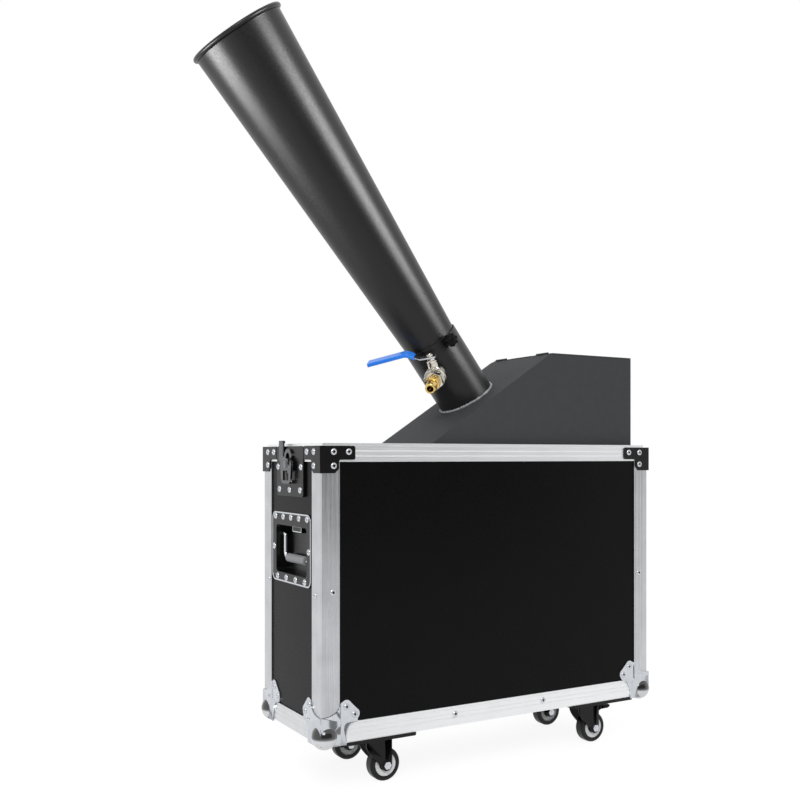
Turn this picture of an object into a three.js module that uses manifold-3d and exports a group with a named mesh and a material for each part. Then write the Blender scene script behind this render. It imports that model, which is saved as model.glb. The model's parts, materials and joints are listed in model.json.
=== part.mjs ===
// Confetti blower: a gas-driven cone barrel on a steel hopper, standing in an open road case on castors.
// Millimetres. X runs along the case to the right, Y into its depth, Z up, and the floor is at Z = 0.
// The case is built with its left end at X = 0 and its middle at Y = 0, and moved at the end.

import * as THREE from "three";
import { mergeVertices } from "three/addons/utils/BufferGeometryUtils.js";
import Module from "manifold-3d";

const wasm = await Module();
wasm.setup();

// Gaps and facets
const seat = 0.3; // clearance between two pieces that touch
const overrun = 2; // how far a cut runs past what it cuts
const weldDistance = 1e-4; // vertices nearer than this are one
const smallSides = 12; // pins, bolts and holes
const roundSides = 16; // wheels, races, knobs, valve bodies and the hopper's hole for the tube
const hexSides = 6; // nuts and bolt heads
const punchedSides = 8; // the pedals' holes
const rodSegments = 4; // quarter turns round the handle's rod
const wideSides = 32; // collar and barrel
const ballRows = 8; // from a ball's one pole to the other
const arcSteps = 2; // steps in half a rounded corner

// Road case
const caseLength = 620;
const caseDepth = 210;
const caseHeight = 425; // from the case's underside to the top of its rim
const panelThickness = 9;

// Aluminium double-angle edge
const edgeLeg = 30;
const edgeWall = 1.8;
const edgeLip = 11; // how far the inner angle reaches past its corner
const edgeRound = 2;
const grooveWidth = 1.4;
const grooveDepth = 0.6;
const edgeGrooveShares = [0.42, 0.64, 0.88]; // of the leg, from the corner

// Tongued top rim
const rimHeight = 23;
const rimLip = 13;
const tongueHeight = 4;
const tongueWidth = 3;
const rimGrooveShares = [0.36, 0.68]; // of the rim's height

// Pressed corner fittings
const fittingSheet = 1.5;
const ballRadius = 19;
const ballInset = 12; // the ball's centre, in from each outer face
const cornerLegReach = 40;
const cornerBottomReach = 28; // short of the castor's plate
const cornerFlareReach = 58;
const cornerRivetNear = 40.5;
const cornerRivetFar = 53.5;
const cornerLobeRadius = 8.5;
const braceAcross = 0.257 * caseDepth;
const braceAcrossHeight = 20;
const braceDrop = 39;
const braceDropWidth = 28;
const braceChamfer = 6.5;

// Castors
const casterHeight = 78; // floor to the case's underside
const casterEndInset = 107; // swivel axis to the case's end
const casterFaceInset = 45; // swivel axis to the case's front or back face
const casterPlateLength = 132;
const casterPlateShift = 12; // the plate's middle lies this much nearer the case's end than the swivel axis
const casterPlateWidth = 84;
const casterPlateThickness = 5.5;
const casterPlateRound = 6;
const raceRadius = 22;
const raceHeight = 3;
const kingpinRadius = 5;
const forkSheet = 2.5;
const forkCrownRadius = 20;
const forkCrownThickness = 3;
const forkFrontReach = 17;
const forkShoulderDrop = 12; // where the cheeks start to narrow, below the crown
const forkRibWidth = 4;
const forkRibHeight = 1;
const wheelRadius = 25;
const wheelWidth = 18;
const wheelTrail = 17.5;
const wheelSideGap = 1.5;
const treadRound = 3;
const wheelDishDepth = 2.5;
const tyreBand = 7; // tyre's height outside the wheel's rim
const hubRadius = 8.5;
const axleRadius = 4;
const axleHeadRadius = 6.3;
const axleHeadHeight = 4;
const axleBossRadius = 9;
const pedalWidth = 15;
const pedalReach = 56; // from the swivel axis to the pedal's tip
const pedalPivotBack = 20; // from the swivel axis to the pedal's pin
const pedalPivotHeight = 58;
const pedalPinRadius = 2;
const pedalArm = 4.5; // round the pin
const pedalShoeOut = 10; // the shoe's edge, out from the pin and below it
const pedalShoeDown = 7;
const pedalHoleRadius = 2.3;
const pedalHoleShares = [0.34, 0.56]; // of the way from the pin to the pedal's tip

// Recessed end handle
const dishSideGap = 3.5; // between the dish and the corner posts
const dishWidth = caseDepth - 2 * edgeLeg - 2 * dishSideGap;
const dishHeight = 107;
const dishLatchGap = 24.5; // panel seen between the latch and the dish
const dishSheet = 1.5;
const dishRound = 12;
const pocketInset = 15.5; // from the dish's side to the pocket's
const pocketWidth = dishWidth - 2 * pocketInset;
const pocketHeight = 72;
const pocketDepth = 18;
const pocketDrop = 3; // the pocket's middle lies this much below the dish's middle
const springCoverWidth = 34;
const springCoverHeight = 13;
const springCoverReach = 8;
const bailRadius = 3;
const bailPivotDrop = 14; // below the pocket's top edge
const bailInset = 12; // from the pocket's side to the bail's leg
const bailLegs = pocketWidth - 2 * bailInset;
const bailDrop = 36;
const bailBend = 8;
const bailSteps = 18;
const gripRadius = 6;
const gripInset = 13; // from the bail's leg to the grip's end
const gripLength = bailLegs - 2 * gripInset;

// Butterfly latch
const latchSideGap = 2; // between the latch and the corner braces
const latchWidth = caseDepth - 2 * braceAcross - 2 * latchSideGap;
const latchHeight = 75;
const latchRound = 5;
const spindleDrop = 27; // below the rim's top
const spindleRadius = 7;
const hookThickness = 3;
const hookWidth = 15;
const hookOffset = 26; // the hook's arm stands beside the spindle
const hookRise = 8.6; // above the rim's top
const hookTravel = 10;
const hookStrap = 6;
const hookBarb = 1.4;
const hookBarbHeight = 4;
const guideWidth = 3;
const guideHeight = 13;
const keyThickness = 3;
const keyWidth = 40;
const keyReach = 29; // from the spindle to the end of the loop
const keyLoopBar = 5;
const keyLoopRound = 7.5;
const keyBladeWidth = 22;

// Deck and hopper
const deckSheet = 2;
const deckDrop = 3; // deck's top below the rim's top
const deckSkirt = 22;
const hopperSheet = 2;
const hopperSideGap = 22.5; // from the case's front face to the hopper's
const hopperWidth = caseDepth - 2 * hopperSideGap;
const hopperRise = 155; // lid's top above the rim's top
const hopperToe = 190.6; // where the slope passes the rim's top, from the case's left end
const hopperRear = 603;
const hopperSlope = 33; // degrees
const hopperFlange = 8;
const fillerMargin = 14; // width of the ledge round the filler opening
const lidSheet = 2;
const hingeBarrel = 2;
const hingePin = 1;
const hingeLength = 30;
const hingeMiddle = 14;
const hingeInset = 24.5; // from the lid's side to the middle of a hinge
const hingeSpread = hopperWidth - 2 * hingeInset;

// Barrel and its collar
const barrelElevation = 52.4; // degrees
const barrelBase = 315.8; // where its axis meets the slope, from the case's left end
const collarOuter = 46;
const collarInner = 44;
const collarHeight = 117;
const collarWeld = 3.5;
const spigotDepth = 33;
const spigotGap = 0.4;
const barrelLength = 543; // from the collar's top to the mouth
const barrelWall = 1.6;
const mouthRadius = 71.5;
const mouthLip = 75.8;
const mouthRoll = 8;

// Clamping knob
const knobDrop = 7.5; // below the collar's top
const knobRadius = 11;
const knobLobe = 1.3;
const knobLobes = 7;
const knobDepth = 11;
const knobStud = 3;
const knobBackedOff = 0.5; // the stud's end, inside the collar's outer face, so that the barrel is free
const knobNut = 6.5;
const knobNutHeight = 4.5;

// Ball valve
const valveHeight = 75.9; // its axis above the slope, along the barrel
const valveSwing = 220; // degrees round the barrel from its upper side
const valveTilt = 15.9; // degrees the stem leans from the barrel's direction
const valveStart = 46.4; // from the barrel's axis
const valveNeckEnd = 53;
const valveBallCentre = 62;
const valveBellEnd = 75;
const valveEnd = 87;
const valveNeckRadius = 14;
const valveBellRadius = 17;
const valveHexRadius = 16;
const valveBore = 7;
const ballSeatRadius = 10.4;
const ballGap = 0.9; // round the ball
const stemRadius = 3;
const bonnetRadius = 8;
const bonnetHeight = 27;
const glandRadius = 6.4;
const glandHeight = 31.2;
const leverWidth = 12;
const leverSheet = 2.5;
const leverRunOut = 17; // where it starts to rise, from the stem
const leverBend = 36; // where it has risen
const leverRaise = 13;
const leverTipRaise = 9;
const leverLength = 100.4;
const leverHeel = 9;
const sleeveStart = 24;
const sleeveWidth = 16;
const sleeveThickness = 6;
const sleeveWall = 1.6;
const nutRadius = 5.6;
const nutHeight = 3.6;
const nippleEnd = 113.5;
const nippleHexRadius = 12.3;
const nippleHexLength = 9;
const nippleShankRadius = 9;
const nippleBore = 5.4;
const nippleLipRadius = 8.3;
const nippleLipLength = 7;
const nozzleRadius = 6.5;
const nozzleBore = 4.5;
const nozzleReach = 52;
const jetLength = 26;

// Sizes that follow from those
const halfDepth = caseDepth / 2;
const panelFace = edgeWall + seat; // the panels lie this far in from the edges' faces
const edgeCore = edgeWall + panelThickness + 2 * seat;
const edgeInner = edgeCore + edgeWall;
const fittingFace = seat + fittingSheet; // outer face of a fitting, outside the edges' faces

// Finishes
function finish(colour, roughness, metalness) {
  const look = { color: colour, roughness: roughness, metalness: metalness };
  return () => new THREE.MeshStandardMaterial(look);
}
const laminate = finish(0x1b1b1d, 0.45, 0);
const aluminium = finish(0xd2d4d6, 0.35, 0.9);
const blackSteel = finish(0x17181a, 0.4, 0.3);
const zincPlate = finish(0xc9cccf, 0.25, 1);
const powderCoat = finish(0x3c3d3f, 0.7, 0);
const barrelPaint = finish(0x1c1d1f, 0.42, 0);
const blackRubber = finish(0x131313, 0.8, 0);
const blackPlastic = finish(0x101011, 0.5, 0);
const nickel = finish(0xb9b2a4, 0.28, 1);
const brass = finish(0xd0a548, 0.3, 1);
const blueDip = finish(0x2f6fe0, 0.4, 0);

// Solids: every helper takes and gives closed three.js geometry.
function closedFaces(geometry) {
  const bare = geometry.clone();
  bare.deleteAttribute("normal");
  bare.deleteAttribute("uv");
  const merged = mergeVertices(bare, weldDistance);
  const places = merged.attributes.position.array;
  const index = merged.index.array;
  const faces = [];
  let volume = 0;
  for (let i = 0; i < index.length; i += 3) {
    const [a, b, c] = [index[i], index[i + 1], index[i + 2]];
    if (a === b || b === c || c === a) continue;
    faces.push(a, b, c);
    const [p, q, r] = [a, b, c].map((n) => new THREE.Vector3().fromArray(places, 3 * n));
    volume += p.dot(q.cross(r));
  }
  if (volume < 0) faces.reverse();
  return { places: places, faces: faces };
}

function solidOf(geometry) {
  const { places, faces } = closedFaces(geometry);
  const mesh = { numProp: 3, vertProperties: new Float32Array(places), triVerts: new Uint32Array(faces) };
  return new wasm.Manifold(new wasm.Mesh(mesh));
}

function geometryOf(solid) {
  const mesh = solid.getMesh();
  const geometry = new THREE.BufferGeometry();
  geometry.setAttribute("position", new THREE.BufferAttribute(Float32Array.from(mesh.vertProperties), 3));
  geometry.setIndex(new THREE.BufferAttribute(Uint32Array.from(mesh.triVerts), 1));
  geometry.computeVertexNormals();
  return geometry;
}

function join(...pieces) {
  const solids = pieces.map(solidOf);
  return geometryOf(solids.reduce((whole, next) => whole.add(next)));
}

function cut(body, ...tools) {
  const solids = tools.map(solidOf);
  return geometryOf(solids.reduce((left, tool) => left.subtract(tool), solidOf(body)));
}

function block(low, high) {
  const size = low.map((edge, i) => high[i] - edge);
  const middle = low.map((edge, i) => (edge + high[i]) / 2);
  return new THREE.BoxGeometry(...size).translate(...middle);
}

// A round bar along Z.
function bar(radius, low, high, sides = smallSides) {
  return new THREE.CylinderGeometry(radius, radius, high - low, sides)
    .rotateX(Math.PI / 2)
    .translate(0, 0, (low + high) / 2);
}

function barAlongX(radius, low, high, sides = smallSides) {
  return bar(radius, low, high, sides).rotateY(Math.PI / 2);
}

function barAlongY(radius, low, high, sides = smallSides) {
  return bar(radius, low, high, sides).rotateX(-Math.PI / 2);
}

function sphere(radius, x, y, z) {
  return new THREE.SphereGeometry(radius, smallSides, ballRows).translate(x, y, z);
}

// Points are [radius, height] round a closed section, or from the axis back to the axis.
function revolved(points, sides) {
  const outline = points.map(([radius, height]) => new THREE.Vector2(radius, height));
  return new THREE.LatheGeometry(outline, sides).rotateX(Math.PI / 2);
}

function extruded(shape, depth, curveSegments = arcSteps) {
  const settings = { depth: depth, curveSegments: curveSegments, bevelEnabled: false };
  return new THREE.ExtrudeGeometry(shape, settings);
}

function outline(points) {
  return new THREE.Shape(points.map(([x, y]) => new THREE.Vector2(x, y)));
}

function roundedOutline(width, height, radius) {
  const [x, y] = [width / 2, height / 2];
  const shape = new THREE.Shape();
  shape.moveTo(radius - x, -y);
  shape.absarc(x - radius, radius - y, radius, -Math.PI / 2, 0);
  shape.absarc(x - radius, y - radius, radius, 0, Math.PI / 2);
  shape.absarc(radius - x, y - radius, radius, Math.PI / 2, Math.PI);
  shape.absarc(radius - x, radius - y, radius, Math.PI, 1.5 * Math.PI);
  return shape;
}

// Moves a shape drawn in X and Y, extruded along Z, so that these lie along two chosen axes.
const axes = {
  x: new THREE.Vector3(1, 0, 0),
  y: new THREE.Vector3(0, 1, 0),
  z: new THREE.Vector3(0, 0, 1),
  minusX: new THREE.Vector3(-1, 0, 0),
  minusY: new THREE.Vector3(0, -1, 0),
};

function laid(geometry, first, second) {
  const third = new THREE.Vector3().crossVectors(first, second);
  return geometry.applyMatrix4(new THREE.Matrix4().makeBasis(first, second, third));
}

function piece(parent, name, geometry, material) {
  const mesh = new THREE.Mesh(geometry, material());
  mesh.name = name;
  parent.add(mesh);
  return mesh;
}

function group(parent, x, y, z) {
  const holder = new THREE.Group();
  holder.position.set(x, y, z);
  parent.add(holder);
  return holder;
}

// Road case edges
function grooves(shares, length) {
  return shares.flatMap((share) => [
    [share * length - grooveWidth / 2, 0],
    [share * length, grooveDepth],
    [share * length + grooveWidth / 2, 0],
  ]);
}

// The double angle's section, with its outer corner at the origin and its legs along X and Y.
function edgeSection() {
  const lip = edgeInner + edgeLip;
  const alongX = grooves(edgeGrooveShares, edgeLeg);
  const alongY = alongX.map(([x, y]) => [y, x]).reverse();
  const shape = outline([
    [edgeRound, 0],
    ...alongX,
    [edgeLeg, 0],
    [edgeLeg, edgeWall],
    [edgeInner, edgeWall],
    [edgeInner, edgeCore],
    [lip, edgeCore],
    [lip, edgeInner],
    [edgeInner, edgeInner],
    [edgeInner, lip],
    [edgeCore, lip],
    [edgeCore, edgeInner],
    [edgeWall, edgeInner],
    [edgeWall, edgeLeg],
    [0, edgeLeg],
    ...alongY,
    [0, edgeRound],
  ]);
  const hollow = [[edgeWall, edgeWall], [edgeCore, edgeWall], [edgeCore, edgeCore], [edgeWall, edgeCore]];
  shape.holes.push(outline(hollow));
  return shape;
}

function edgeLength(low, high) {
  return extruded(edgeSection(), high - low).translate(0, 0, low);
}

// The rim's section as [inset from the case's face, height above the rim's lower edge].
function rimSection() {
  const tongueInset = (edgeInner - tongueWidth) / 2;
  return [
    [0, 0],
    ...grooves(rimGrooveShares, rimHeight).map(([along, depth]) => [depth, along]),
    [0, rimHeight],
    [tongueInset, rimHeight],
    [tongueInset, rimHeight + tongueHeight],
    [tongueInset + tongueWidth, rimHeight + tongueHeight],
    [tongueInset + tongueWidth, rimHeight],
    [edgeInner, rimHeight],
    [edgeInner, rimHeight - rimLip],
    [edgeCore, rimHeight - rimLip],
    [edgeCore, rimHeight - edgeWall],
    [edgeWall, rimHeight - edgeWall],
    [edgeWall, 0],
  ];
}

// Four lengths mitred round the case, one ring of four corners for each point of the section.
function mitredRing(section) {
  const places = [];
  const faces = [];
  section.forEach(([inset, rise], row) => {
    const [left, right, side] = [inset, caseLength - inset, halfDepth - inset];
    places.push(left, -side, rise, right, -side, rise, right, side, rise, left, side, rise);
    for (let corner = 0; corner < 4; corner += 1) {
      const next = (corner + 1) % 4;
      const above = (row + 1) % section.length;
      const [a, b, c, d] = [4 * row + corner, 4 * row + next, 4 * above + next, 4 * above + corner];
      faces.push(a, b, c, a, c, d);
    }
  });
  const ring = new THREE.BufferGeometry();
  ring.setAttribute("position", new THREE.Float32BufferAttribute(places, 3));
  ring.setIndex(faces);
  return join(ring);
}

// Ball corner and top brace, both with the case's corner at the origin and the case towards +X, +Y
function cornerOutline() {
  const edge = -fittingFace;
  const [near, far, radius] = [cornerRivetNear, cornerRivetFar, cornerLobeRadius];
  const shape = new THREE.Shape();
  shape.moveTo(edge, edge);
  shape.lineTo(cornerLegReach, edge);
  shape.quadraticCurveTo(cornerLegReach, edgeLeg, cornerFlareReach, edgeLeg + seat);
  shape.absarc(far, near, radius, -Math.PI / 4, Math.PI / 3);
  shape.absarc(near, far, radius, Math.PI / 6, 0.75 * Math.PI);
  shape.lineTo(edgeLeg + seat, cornerFlareReach);
  shape.quadraticCurveTo(edgeLeg, cornerLegReach, edge, cornerLegReach);
  return shape;
}

// One face of the ball corner, drawn flat: legs over the edges, a crank, and a wing on the panel below.
function cornerPressing() {
  const depth = fittingFace + panelFace - seat;
  const crankStart = edgeLeg + seat;
  const crankEnd = crankStart + fittingSheet;
  const far = cornerFlareReach + cornerLobeRadius;
  const legs = extruded(cornerOutline(), fittingSheet).translate(0, 0, depth - fittingSheet);
  const wing = extruded(cornerOutline(), fittingSheet);
  const crank = extruded(cornerOutline(), depth);
  const beyond = block([crankEnd, crankEnd, -overrun], [far, far, depth + overrun]);
  const besideX = block([-far, -far, -overrun], [crankStart, far, depth + overrun]);
  const besideY = block([-far, -far, -overrun], [far, crankStart, depth + overrun]);
  return join(cut(legs, beyond), cut(wing, besideX, besideY), cut(crank, besideX, besideY, beyond));
}

function ballCorner() {
  const edge = -fittingFace;
  const reach = cornerBottomReach;
  const level = seat - panelFace;
  const facing = cornerPressing();
  const front = laid(facing.clone(), axes.x, axes.z).translate(0, -level, 0);
  const end = laid(facing.clone(), axes.z, axes.y).translate(-level, 0, 0);
  const foot = [[edge, edge], [reach, edge], [reach, reach / 2], [reach / 2, reach], [edge, reach]];
  const bottom = extruded(outline(foot), fittingSheet).translate(0, 0, edge);
  const toCentre = [ballInset, ballInset, ballInset];
  const ball = sphere(ballRadius, ...toCentre);
  const root = sphere(ballRadius - fittingSheet / 2, ...toCentre);
  const spur = cut(block([edge - overrun, edge - overrun, edge - overrun], toCentre), root);
  const far = edgeLeg + ballRadius;
  const inside = block([-seat, -seat, -seat], [far, far, far]);
  return join(cut(join(front, end, bottom), spur), cut(ball, inside));
}

function topBrace() {
  const edge = -fittingFace;
  const shape = outline([
    [edge, 0],
    [braceAcross, 0],
    [braceAcross, -braceAcrossHeight],
    [braceDropWidth, -braceAcrossHeight],
    [braceDropWidth, braceChamfer - braceDrop],
    [braceDropWidth - braceChamfer, -braceDrop],
    [edge, -braceDrop],
  ]);
  const front = laid(extruded(shape, fittingSheet), axes.x, axes.z).translate(0, -seat, 0);
  const end = laid(extruded(shape, fittingSheet), axes.y, axes.z).translate(edge, 0, 0);
  return join(front, end);
}

// Castor, with its swivel axis on Z and the wheel trailing towards +X
const plateTop = casterHeight - seat;
const raceTop = plateTop - casterPlateThickness;
const crownTop = raceTop - raceHeight - seat;
const cheekInner = wheelWidth / 2 + wheelSideGap;
const cheekOuter = cheekInner + forkSheet;
const forkRear = wheelTrail + axleBossRadius;

function casterPlate() {
  const outer = roundedOutline(casterPlateLength, casterPlateWidth, casterPlateRound);
  const plate = extruded(outer, casterPlateThickness, 1);
  const race = bar(raceRadius, raceTop - raceHeight, raceTop + seat, roundSides);
  const bore = bar(kingpinRadius + seat, raceTop - raceHeight - overrun, plateTop - fittingSheet);
  return cut(join(plate.translate(-casterPlateShift, 0, raceTop), race), bore);
}

function forkCheek() {
  const shoulder = crownTop - forkShoulderDrop;
  const shape = new THREE.Shape();
  shape.moveTo(-forkFrontReach, crownTop);
  shape.lineTo(-forkFrontReach, shoulder);
  shape.lineTo(wheelTrail - axleBossRadius, wheelRadius);
  shape.absarc(wheelTrail, wheelRadius, axleBossRadius, Math.PI, 2 * Math.PI);
  shape.lineTo(forkRear, crownTop);
  return laid(extruded(shape, forkSheet), axes.x, axes.z);
}

function casterFork(braked) {
  const crown = block(
    [-forkFrontReach, -cheekOuter, crownTop - forkCrownThickness],
    [forkRear, cheekOuter, crownTop],
  );
  const disc = bar(forkCrownRadius, crownTop - forkCrownThickness, crownTop, roundSides);
  const kingpin = bar(kingpinRadius, crownTop - forkCrownThickness, raceTop);
  const nearCheek = forkCheek().translate(0, -cheekInner, 0);
  const farCheek = forkCheek().translate(0, cheekOuter, 0);
  const axle = barAlongY(axleRadius, -cheekOuter, cheekOuter).translate(wheelTrail, 0, wheelRadius);
  const headEnd = cheekOuter + axleHeadHeight;
  const heads = [-headEnd, cheekOuter].map((low) =>
    barAlongY(axleHeadRadius, low, low + axleHeadHeight, hexSides).translate(wheelTrail, 0, wheelRadius));
  const ribs = [-cheekOuter - forkRibHeight, cheekOuter].map((low) =>
    block([wheelTrail - forkRibWidth / 2, low, wheelRadius + axleBossRadius],
      [wheelTrail + forkRibWidth / 2, low + forkRibHeight, crownTop - forkRibWidth]));
  const parts = [crown, disc, kingpin, nearCheek, farCheek, axle, ...heads, ...ribs];
  if (braked) {
    const pin = barAlongY(pedalPinRadius, -cheekInner, cheekInner);
    parts.push(pin.translate(pedalPivotBack, 0, pedalPivotHeight));
  }
  return join(...parts);
}

function casterWheel() {
  const half = wheelWidth / 2;
  const rimRadius = wheelRadius - tyreBand;
  const dish = half - wheelDishDepth;
  const side = [
    [axleRadius + seat, half],
    [hubRadius, half],
    [hubRadius + treadRound / 2, dish],
    [rimRadius - treadRound / 2, dish],
    [rimRadius, half],
    [wheelRadius - treadRound, half],
    [wheelRadius, half - treadRound],
  ];
  const other = side.map(([radius, along]) => [radius, -along]).reverse();
  const section = [...side, ...other, side[0]];
  return join(revolved(section, roundSides).rotateX(Math.PI / 2)).translate(wheelTrail, 0, wheelRadius);
}

function brakePedal() {
  const [x, z] = [pedalPivotBack, pedalPivotHeight];
  const shape = outline([
    [x - pedalArm, z + pedalArm],
    [x - pedalArm, z - pedalArm / 2],
    [x + pedalShoeOut - pedalArm / 2, z - pedalShoeDown],
    [x + pedalShoeOut, z - pedalShoeDown],
    [x + pedalShoeOut + pedalArm, z - pedalArm],
    [pedalReach - pedalArm, z - pedalArm],
    [pedalReach, z - pedalArm / 2],
    [pedalReach - pedalArm, z + pedalArm / 3],
    [x + pedalArm, z + pedalArm],
  ]);
  const body = laid(extruded(shape, pedalWidth), axes.x, axes.z).translate(0, pedalWidth / 2, 0);
  const pinHole = barAlongY(pedalPinRadius + seat, -pedalWidth, pedalWidth).translate(x, 0, z);
  const holes = pedalHoleShares.map((share) =>
    barAlongY(pedalHoleRadius, -pedalWidth, pedalWidth, punchedSides)
      .translate(x + share * (pedalReach - x), 0, z - pedalArm / 3));
  return cut(body, pinHole, ...holes);
}

// End hardware, drawn for the left end: X = 0 is the edges' outer face and the outside is towards -X
const dishMiddle = caseHeight - latchHeight - dishLatchGap - dishHeight / 2;
const pocketMiddle = dishMiddle - pocketDrop;
const bailPivot = pocketMiddle + pocketHeight / 2 - bailPivotDrop;
const bailPlane = panelFace + pocketDepth / 2;

// A flat outline given across Y and up Z, extruded along +X from a chosen depth.
function facing(shape, from, to) {
  return laid(extruded(shape, to - from), axes.y, axes.z).translate(from, 0, 0);
}

function pocketTool(grow, from, to) {
  const shape = roundedOutline(pocketWidth + 2 * grow, pocketHeight + 2 * grow, dishRound / 2 + grow);
  return facing(shape, from, to).translate(0, 0, pocketMiddle);
}

function handleDish() {
  const back = panelFace - seat;
  const front = back - dishSheet;
  const floor = back + pocketDepth;
  const flange = facing(roundedOutline(dishWidth, dishHeight, dishRound), front, back)
    .translate(0, 0, dishMiddle);
  const pocketTop = pocketMiddle + pocketHeight / 2;
  const shell = join(flange, pocketTool(dishSheet, front + seat, floor));
  const open = cut(shell, pocketTool(0, front - overrun, floor - dishSheet));
  const cover = block(
    [
      floor - dishSheet - springCoverReach,
      -springCoverWidth / 2,
      pocketTop - springCoverHeight + bailRadius,
    ],
    [floor - dishSheet / 2, springCoverWidth / 2, pocketTop + dishSheet / 2],
  );
  const pivotHole = barAlongY(bailRadius + seat, -dishWidth / 2, dishWidth / 2)
    .translate(bailPlane, 0, bailPivot);
  return cut(join(open, cover), pivotHole);
}

function handleBail() {
  const half = bailLegs / 2;
  const end = pocketWidth / 2 + dishSheet - seat;
  const low = -bailDrop;
  const corner = (y, z) => new THREE.Vector3(0, y, z);
  const path = new THREE.CurvePath();
  const line = (from, to) => path.add(new THREE.LineCurve3(from, to));
  const bend = (from, at, to) => path.add(new THREE.QuadraticBezierCurve3(from, at, to));
  line(corner(-end, 0), corner(-half - bailBend / 2, 0));
  bend(corner(-half - bailBend / 2, 0), corner(-half, 0), corner(-half, -bailBend / 2));
  line(corner(-half, -bailBend / 2), corner(-half, low + bailBend));
  bend(corner(-half, low + bailBend), corner(-half, low), corner(bailBend - half, low));
  line(corner(bailBend - half, low), corner(half - bailBend, low));
  bend(corner(half - bailBend, low), corner(half, low), corner(half, low + bailBend));
  line(corner(half, low + bailBend), corner(half, -bailBend / 2));
  bend(corner(half, -bailBend / 2), corner(half, 0), corner(half + bailBend / 2, 0));
  line(corner(half + bailBend / 2, 0), corner(end, 0));
  const section = new THREE.Shape().absarc(0, 0, bailRadius, 0, 2 * Math.PI);
  const settings = { steps: bailSteps, curveSegments: rodSegments, extrudePath: path };
  return join(new THREE.ExtrudeGeometry(section, settings)).translate(bailPlane, 0, bailPivot);
}

function handleGrip() {
  const half = gripLength / 2;
  const waist = gripRadius - seat;
  const bore = bailRadius + seat;
  const section = [
    [bore, -half],
    [waist, -half],
    [gripRadius, dishSheet - half],
    [gripRadius, half - dishSheet],
    [waist, half],
    [bore, half],
    [bore, -half],
  ];
  return join(revolved(section, smallSides).rotateX(Math.PI / 2))
    .translate(bailPlane, 0, bailPivot - bailDrop);
}

const spindleHeight = caseHeight - spindleDrop;
const latchFace = -fittingFace;
const hookOuter = latchFace - seat - hookThickness;
const keyOuter = hookOuter - seat - keyThickness;

function latchPlate() {
  const rimEdge = caseHeight - rimHeight - seat;
  const front = facing(roundedOutline(latchWidth, latchHeight, latchRound), latchFace, panelFace - seat)
    .translate(0, 0, caseHeight - latchHeight / 2);
  const far = latchWidth;
  const overRim = block([-seat, -far, rimEdge], [far, far, caseHeight + overrun]);
  const slot = block(
    [latchFace - overrun, hookOffset - hookWidth / 2 - seat, caseHeight - hookTravel - 2 * hookBarbHeight],
    [panelFace, hookOffset + hookWidth / 2 + seat, caseHeight + overrun],
  );
  const guides = [-1, 1].map((side) => {
    const middle = hookOffset + side * (hookWidth / 2 + seat + guideWidth / 2);
    return block(
      [hookOuter, middle - guideWidth / 2, caseHeight - guideHeight],
      [latchFace + seat, middle + guideWidth / 2, caseHeight],
    );
  });
  return join(cut(front, overRim, slot), ...guides);
}

function latchHook() {
  const top = caseHeight + hookRise;
  const inner = spindleRadius + seat;
  const outer = inner + hookStrap;
  const strap = new THREE.Shape();
  strap.moveTo(-outer, spindleHeight);
  strap.absarc(0, spindleHeight, outer, Math.PI, 2 * Math.PI);
  strap.lineTo(outer, spindleHeight + hookTravel);
  strap.absarc(0, spindleHeight + hookTravel, outer, 0, Math.PI);
  const slot = new THREE.Path();
  slot.moveTo(-inner, spindleHeight);
  slot.absarc(0, spindleHeight, inner, Math.PI, 2 * Math.PI);
  slot.absarc(0, spindleHeight + hookTravel, inner, 0, Math.PI);
  const [near, far] = [hookOffset - hookWidth / 2, hookOffset + hookWidth / 2];
  const arm = outline([
    [outer - hookStrap / 2, spindleHeight - outer / 2],
    [far, spindleHeight + outer / 2],
    [far, top],
    [near, top],
    [near, spindleHeight + outer],
    [outer - hookStrap / 2, spindleHeight + outer / 2],
  ]);
  const back = hookOuter + hookThickness;
  const ring = facing(strap, hookOuter, back);
  const through = new THREE.Shape(slot.getPoints(smallSides / 4));
  const hole = facing(through, hookOuter - overrun, back + overrun);
  const barb = block([hookOuter, near, top - hookBarbHeight], [back + hookBarb, far, top]);
  return join(cut(join(ring, facing(arm, hookOuter, back)), hole), barb);
}

function latchKey() {
  const spindle = barAlongX(spindleRadius, keyOuter, latchFace - seat).translate(0, 0, spindleHeight);
  const half = keyWidth / 2;
  const bow = new THREE.Shape();
  bow.moveTo(-keyBladeWidth / 2, half / 2);
  bow.lineTo(-half, 0);
  bow.lineTo(-half + keyLoopBar / 2, keyLoopRound - keyReach);
  bow.quadraticCurveTo(-half + keyLoopBar, -keyReach, -half + 2 * keyLoopBar, -keyReach);
  bow.lineTo(half - 2 * keyLoopBar, -keyReach);
  bow.quadraticCurveTo(half - keyLoopBar, -keyReach, half - keyLoopBar / 2, keyLoopRound - keyReach);
  bow.lineTo(half, 0);
  bow.lineTo(keyBladeWidth / 2, half / 2);
  const gap = half - 2 * keyLoopBar;
  const loop = outline([
    [-gap, -spindleRadius - keyLoopBar / 2],
    [-gap, keyLoopBar - keyReach],
    [gap, keyLoopBar - keyReach],
    [gap, -spindleRadius - keyLoopBar / 2],
  ]);
  bow.holes.push(loop);
  const blade = facing(bow, keyOuter, keyOuter + keyThickness).translate(0, 0, spindleHeight);
  return join(spindle, blade);
}

// Panels
function endPanel() {
  const [near, far] = [panelFace, panelFace + panelThickness];
  const side = halfDepth - edgeInner - seat;
  const panel = block([near, -side, edgeInner + seat], [far, side, caseHeight - edgeWall - seat]);
  return cut(panel, pocketTool(dishSheet + seat, near - overrun, far + overrun));
}

function longPanel() {
  const near = -halfDepth + panelFace;
  return block(
    [edgeInner + seat, near, edgeInner + seat],
    [caseLength - edgeInner - seat, near + panelThickness, caseHeight - edgeWall - seat],
  );
}

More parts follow.
